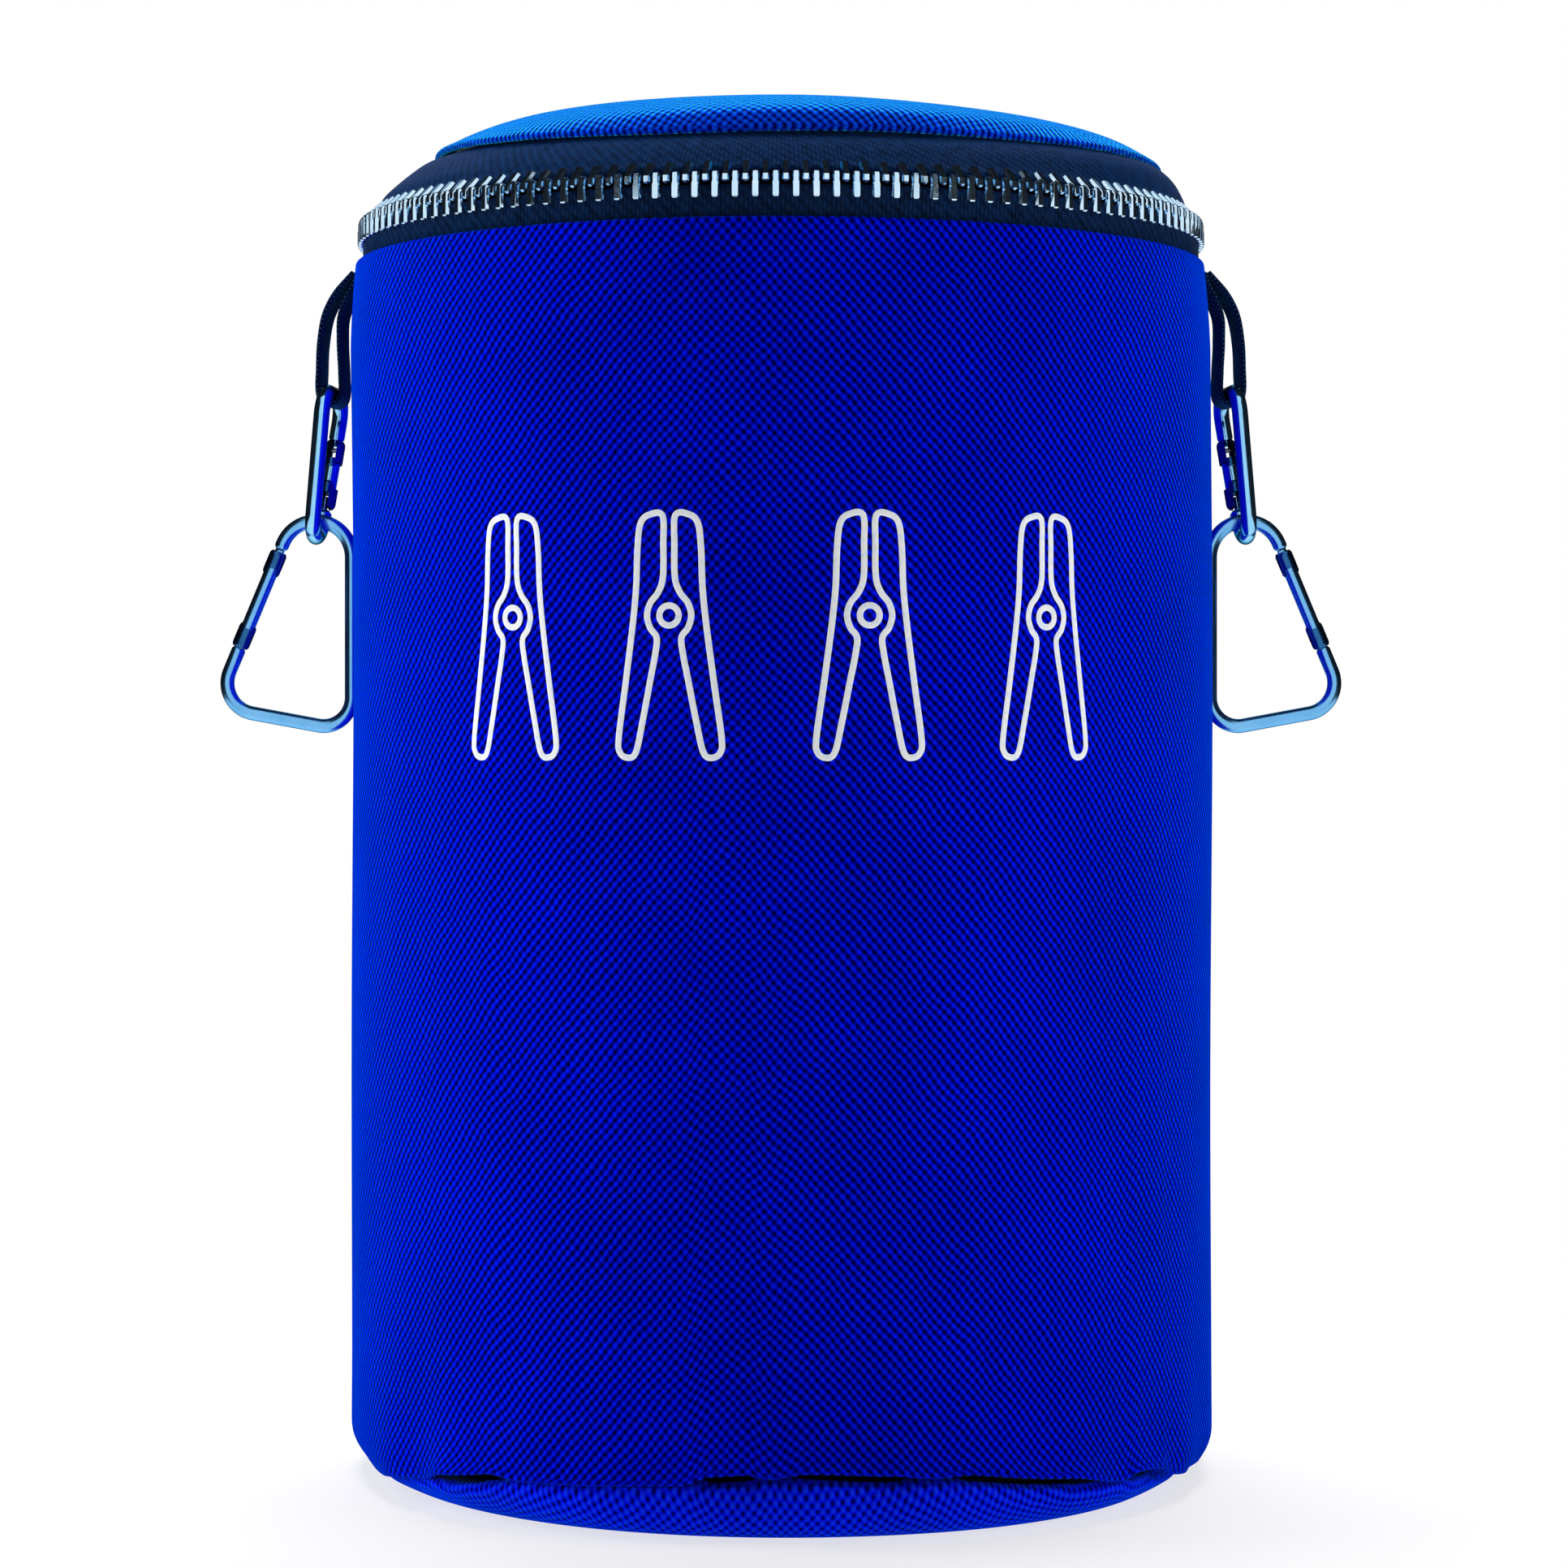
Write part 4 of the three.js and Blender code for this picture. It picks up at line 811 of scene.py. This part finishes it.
def hook_shapes(size, rod):
    """The rod of a snap hook with its flattened ends, and its gate as a tube with two collars and four
    cheeks of the forks. Each is rings of (x, y, n) in the hook's own plane, and most of its lengths are
    multiples of the rod's thickness."""
    _, start, stop, arcs = belt_line(size)
    neck = stop[2]
    length = np.hypot(*(start[2] - neck))
    along = (start[2] - neck) / length
    radius, flat, wide = rod * 0.52, rod * 0.14, rod * 0.36
    pivot, tail = rod * 1.05, length * 0.813
    head = pivot - rod * 0.37
    round_angle = np.linspace(0, 2 * np.pi, 24, endpoint=False)
    circle = np.stack([np.cos(round_angle), np.sin(round_angle)], 1)
    first = np.array([(pivot + wide, 0.6 * wide, flat), (pivot + 0.7 * wide, wide, flat),
                      (pivot - 0.51 * rod, wide, flat), (pivot - 0.53 * rod, rod * 0.32, rod * 0.32),
                      (pivot - 0.74 * rod, radius * 0.95, radius * 0.95),
                      (pivot - 0.82 * rod, radius, radius), (0.02 * rod, radius, radius)])
    last = np.array([(length - 0.02 * rod, radius, radius), (tail + PLAY + 0.12 * rod, radius, radius),
                     (tail + 0.5 * PLAY, radius * 0.8, radius * 0.8), (tail + 0.4 * PLAY, wide, flat),
                     (tail - 0.2 * rod, wide, flat), (tail - 0.3 * rod, 0.6 * wide, flat)])
    line = np.concatenate([neck + first[:, :1] * along, arcs, neck + last[:, :1] * along])
    full = np.full(len(arcs), radius)
    rod_rings = ringed(line, np.concatenate([first[:, 1], full, last[:, 1]]),
                       np.concatenate([first[:, 2], full, last[:, 2]]), circle)

    def tube(low, high, section, thick=1.0):
        """The gate's outline over some of its length: slim, with a collar 1.8 rods long at each end."""
        places = low + (high - low) * np.linspace(0, 1, 12)
        ends = np.minimum(places - head, tail - places) / rod
        collar = 0.26 / (1 + np.exp((ends - 1.75) / 0.05))
        swell = radius * (1 + collar - 0.22 * np.exp(-(ends / 0.12) ** 2))
        return capped(ringed(neck + places[:, None] * along, swell, thick * swell, section))

    floor, roof = pivot + rod * 0.62, tail - rod * 1.22
    lip = np.arcsin((flat + PLAY) / (radius * 1.26))
    cheek = np.linspace(lip, np.pi - lip, 14)
    cheek = np.stack([np.cos(cheek), np.sin(cheek)], 1)
    through = neck + np.linspace(floor, roof, 40)[:, None] * along
    shells = [capped(ringed(through, radius, radius, circle))]
    for low, high in ((floor, head + 1.8 * rod), (tail - 1.8 * rod, roof)):
        shells.append(tube(low, high, circle, thick=0.7))
    for low, high in ((head, floor + 0.3 * rod), (roof - 0.3 * rod, tail)):
        for face in (1, -1):
            shells.append(tube(low, high, cheek * (1, face)))
    return capped(rod_rings), shells


def seat_clip(rings, mirror):
    """A clip's rings hung by the middle of its long bar, turned edge on and leaning out by 7 degrees."""
    normal, start, stop, _ = belt_line(CLIP_SIZE)
    middle = (start[1] + stop[1]) / 2
    turn = np.pi - (np.arctan2(normal[1, 1], normal[1, 0]) + np.pi / 2)
    x, y, n = np.moveaxis(rings - (*middle, 0), -1, 0)
    u = x * np.cos(turn) - y * np.sin(turn)
    down = x * np.sin(turn) + y * np.cos(turn)
    r = BAR_R - n * np.cos(LEAN) - down * np.sin(LEAN)
    return hung(u, r, BAR_Z - n * np.sin(LEAN) + down * np.cos(LEAN), mirror)


def seat_hook(rings, mirror):
    """A hook's rings hung by its neck in the clip's narrow end, facing the front."""
    x, y, n = np.moveaxis(rings, -1, 0)
    return hung(LINK_U + n, LINK_R - BELT[0, 2] * HOOK_SIZE + x, LINK_Z + y, mirror)


for kind, size, rod, seat, metal in (("clip", CLIP_SIZE, CLIP_ROD, seat_clip, polished),
                                     ("hook", HOOK_SIZE, HOOK_ROD, seat_hook, anodised)):
    bent_rod, gate_shells = hook_shapes(size, rod)
    for side, mirror in (("right", 1), ("left", -1)):
        name = f"{side}_{kind}"
        bow = put_skins(f"{name}_rod", [bare_skin(seat(bent_rod, mirror))], metal)
        fit(bow, name, "hook_metal", f"{name}_frame")
        shells = [bare_skin(seat(shell, mirror)) for shell in gate_shells]
        # The collars and fork cheeks take the darker metal, a painted shade.
        gate = put_skins(f"{name}_gate_tube", shells, metal, collar_metal_painted_darker)
        fit(gate, f"{name}_gate", "hook_metal", f"{name}_gate")
        for part in ("pivot_pin", "latch_pin", "gate_spring"):
            dress(f"{name}_{part}", steel)

# STUDIO
# A pale floor that fades into a white surround, two tall soft boxes at the sides, one overhead, and
# dark boards beside and over the object that only its metal reflects.
FLOOR_Z = -0.0004
FLOOR_HALF = 6.0
BOARD_X = 0.6
BOARD_FRONT = -0.8
BOARD_BACK = 1.2
BOARD_LOW = 0.002
BOARD_TOP = 1.0


def background_rays(tree):
    """1 for the rays that show the plain background: from the camera, off gloss and through glass."""
    ray = join(tree, "ShaderNodeLightPath", {}).outputs
    seen = join(tree, "ShaderNodeMath", {0: ray["Is Camera Ray"], 1: ray["Is Glossy Ray"]},
                operation="MAXIMUM")
    return join(tree, "ShaderNodeMath", {0: seen, 1: ray["Is Transmission Ray"]}, operation="MAXIMUM")


def stage_board(name, corners, material):
    """One flat four-cornered board of the studio."""
    mesh = bpy.data.meshes.new(name)
    mesh.from_pydata(corners, [], [(0, 1, 2, 3)])
    mesh.materials.append(material)
    board = bpy.data.objects.new(name, mesh)
    bpy.context.scene.collection.objects.link(board)
    return board


# Pale matt paint that holds the object's shadow near it and goes to plain white further out.
pale, tree, shader = new_material("pale_floor")
feed(tree, shader, {"Base Color": linear("#f2f2f0"), "Roughness": 0.8})
glow = join(tree, "ShaderNodeEmission", {"Color": (1, 1, 1, 1), "Strength": 1.0})
where = join(tree, "ShaderNodeTexCoord", {})
reach = join(tree, "ShaderNodeVectorMath", {0: where.outputs["Object"]}, operation="LENGTH")
fade = join(tree, "ShaderNodeMapRange", {0: reach.outputs["Value"], 1: 0.12, 2: 0.34, 3: 0.7, 4: 1.0},
            interpolation_type="SMOOTHSTEP")
share = join(tree, "ShaderNodeMapRange", {0: background_rays(tree), 3: 0.4, 4: fade})
mixed = join(tree, "ShaderNodeMixShader", {0: share, 1: shader, 2: glow})
feed(tree, tree.nodes["Material Output"], {"Surface": mixed})
stage_board("floor", [(-FLOOR_HALF, -FLOOR_HALF, FLOOR_Z), (FLOOR_HALF, -FLOOR_HALF, FLOOR_Z),
                      (FLOOR_HALF, FLOOR_HALF, FLOOR_Z), (-FLOOR_HALF, FLOOR_HALF, FLOOR_Z)], pale)

# Black felt, with no shine.
felt, tree, shader = new_material("black_board")
feed(tree, shader, {"Base Color": linear("#04060c"), "Roughness": 0.9})
boards = {"over_board": [(-BOARD_X, -0.3, BOARD_TOP), (BOARD_X, -0.3, BOARD_TOP), (BOARD_X, 0.7, BOARD_TOP),
                         (-BOARD_X, 0.7, BOARD_TOP)]}
for side, x in (("right", BOARD_X), ("left", -BOARD_X)):
    boards[f"{side}_board"] = [(x, BOARD_FRONT, BOARD_LOW), (x, BOARD_BACK, BOARD_LOW),
                               (x, BOARD_BACK, BOARD_TOP), (x, BOARD_FRONT, BOARD_TOP)]
for name, corners in boards.items():
    board = stage_board(name, corners, felt)
    board.visible_camera = False
    board.visible_diffuse = False
    board.visible_shadow = False

world = bpy.data.worlds.new("surround")
world.use_nodes = True
tree = world.node_tree
tree.nodes.clear()
sky = join(tree, "ShaderNodeBackground", {"Color": (1, 1, 1, 1), "Strength": background_rays(tree)})
join(tree, "ShaderNodeOutputWorld", {"Surface": sky})
bpy.context.scene.world = world


def soft_box(name, place, target, width, height, watts):
    """An area lamp of a given size, turned to face a point."""
    lamp = bpy.data.lights.new(name, "AREA")
    lamp.shape = "RECTANGLE"
    lamp.size = width
    lamp.size_y = height
    lamp.energy = watts
    box = bpy.data.objects.new(name, lamp)
    box.location = place
    box.rotation_euler = (Vector(target) - Vector(place)).to_track_quat("-Z", "Y").to_euler()
    box.visible_glossy = False
    bpy.context.scene.collection.objects.link(box)


soft_box("left_box", (-1.0, -0.04, 0.45), (0, 0, 0.17), 0.5, 1.1, 11)
soft_box("right_box", (0.92, -0.4, 0.45), (0, 0, 0.17), 0.5, 1.1, 5.5)
soft_box("top_box", (0.0, 0.35, 1.1), (0, 0, 0.28), 0.9, 0.7, 25)

lens = bpy.data.cameras.new("camera")
lens.sensor_width = 36
lens.lens = 92.65
lens.shift_x = 0.002
lens.shift_y = -0.0326
camera = bpy.data.objects.new("camera", lens)
camera.location = (0, -0.943, 0.1702)
camera.rotation_euler = (np.pi / 2, 0, 0)
bpy.context.scene.collection.objects.link(camera)
bpy.context.scene.camera = camera
bpy.context.scene.view_settings.view_transform = "Standard"
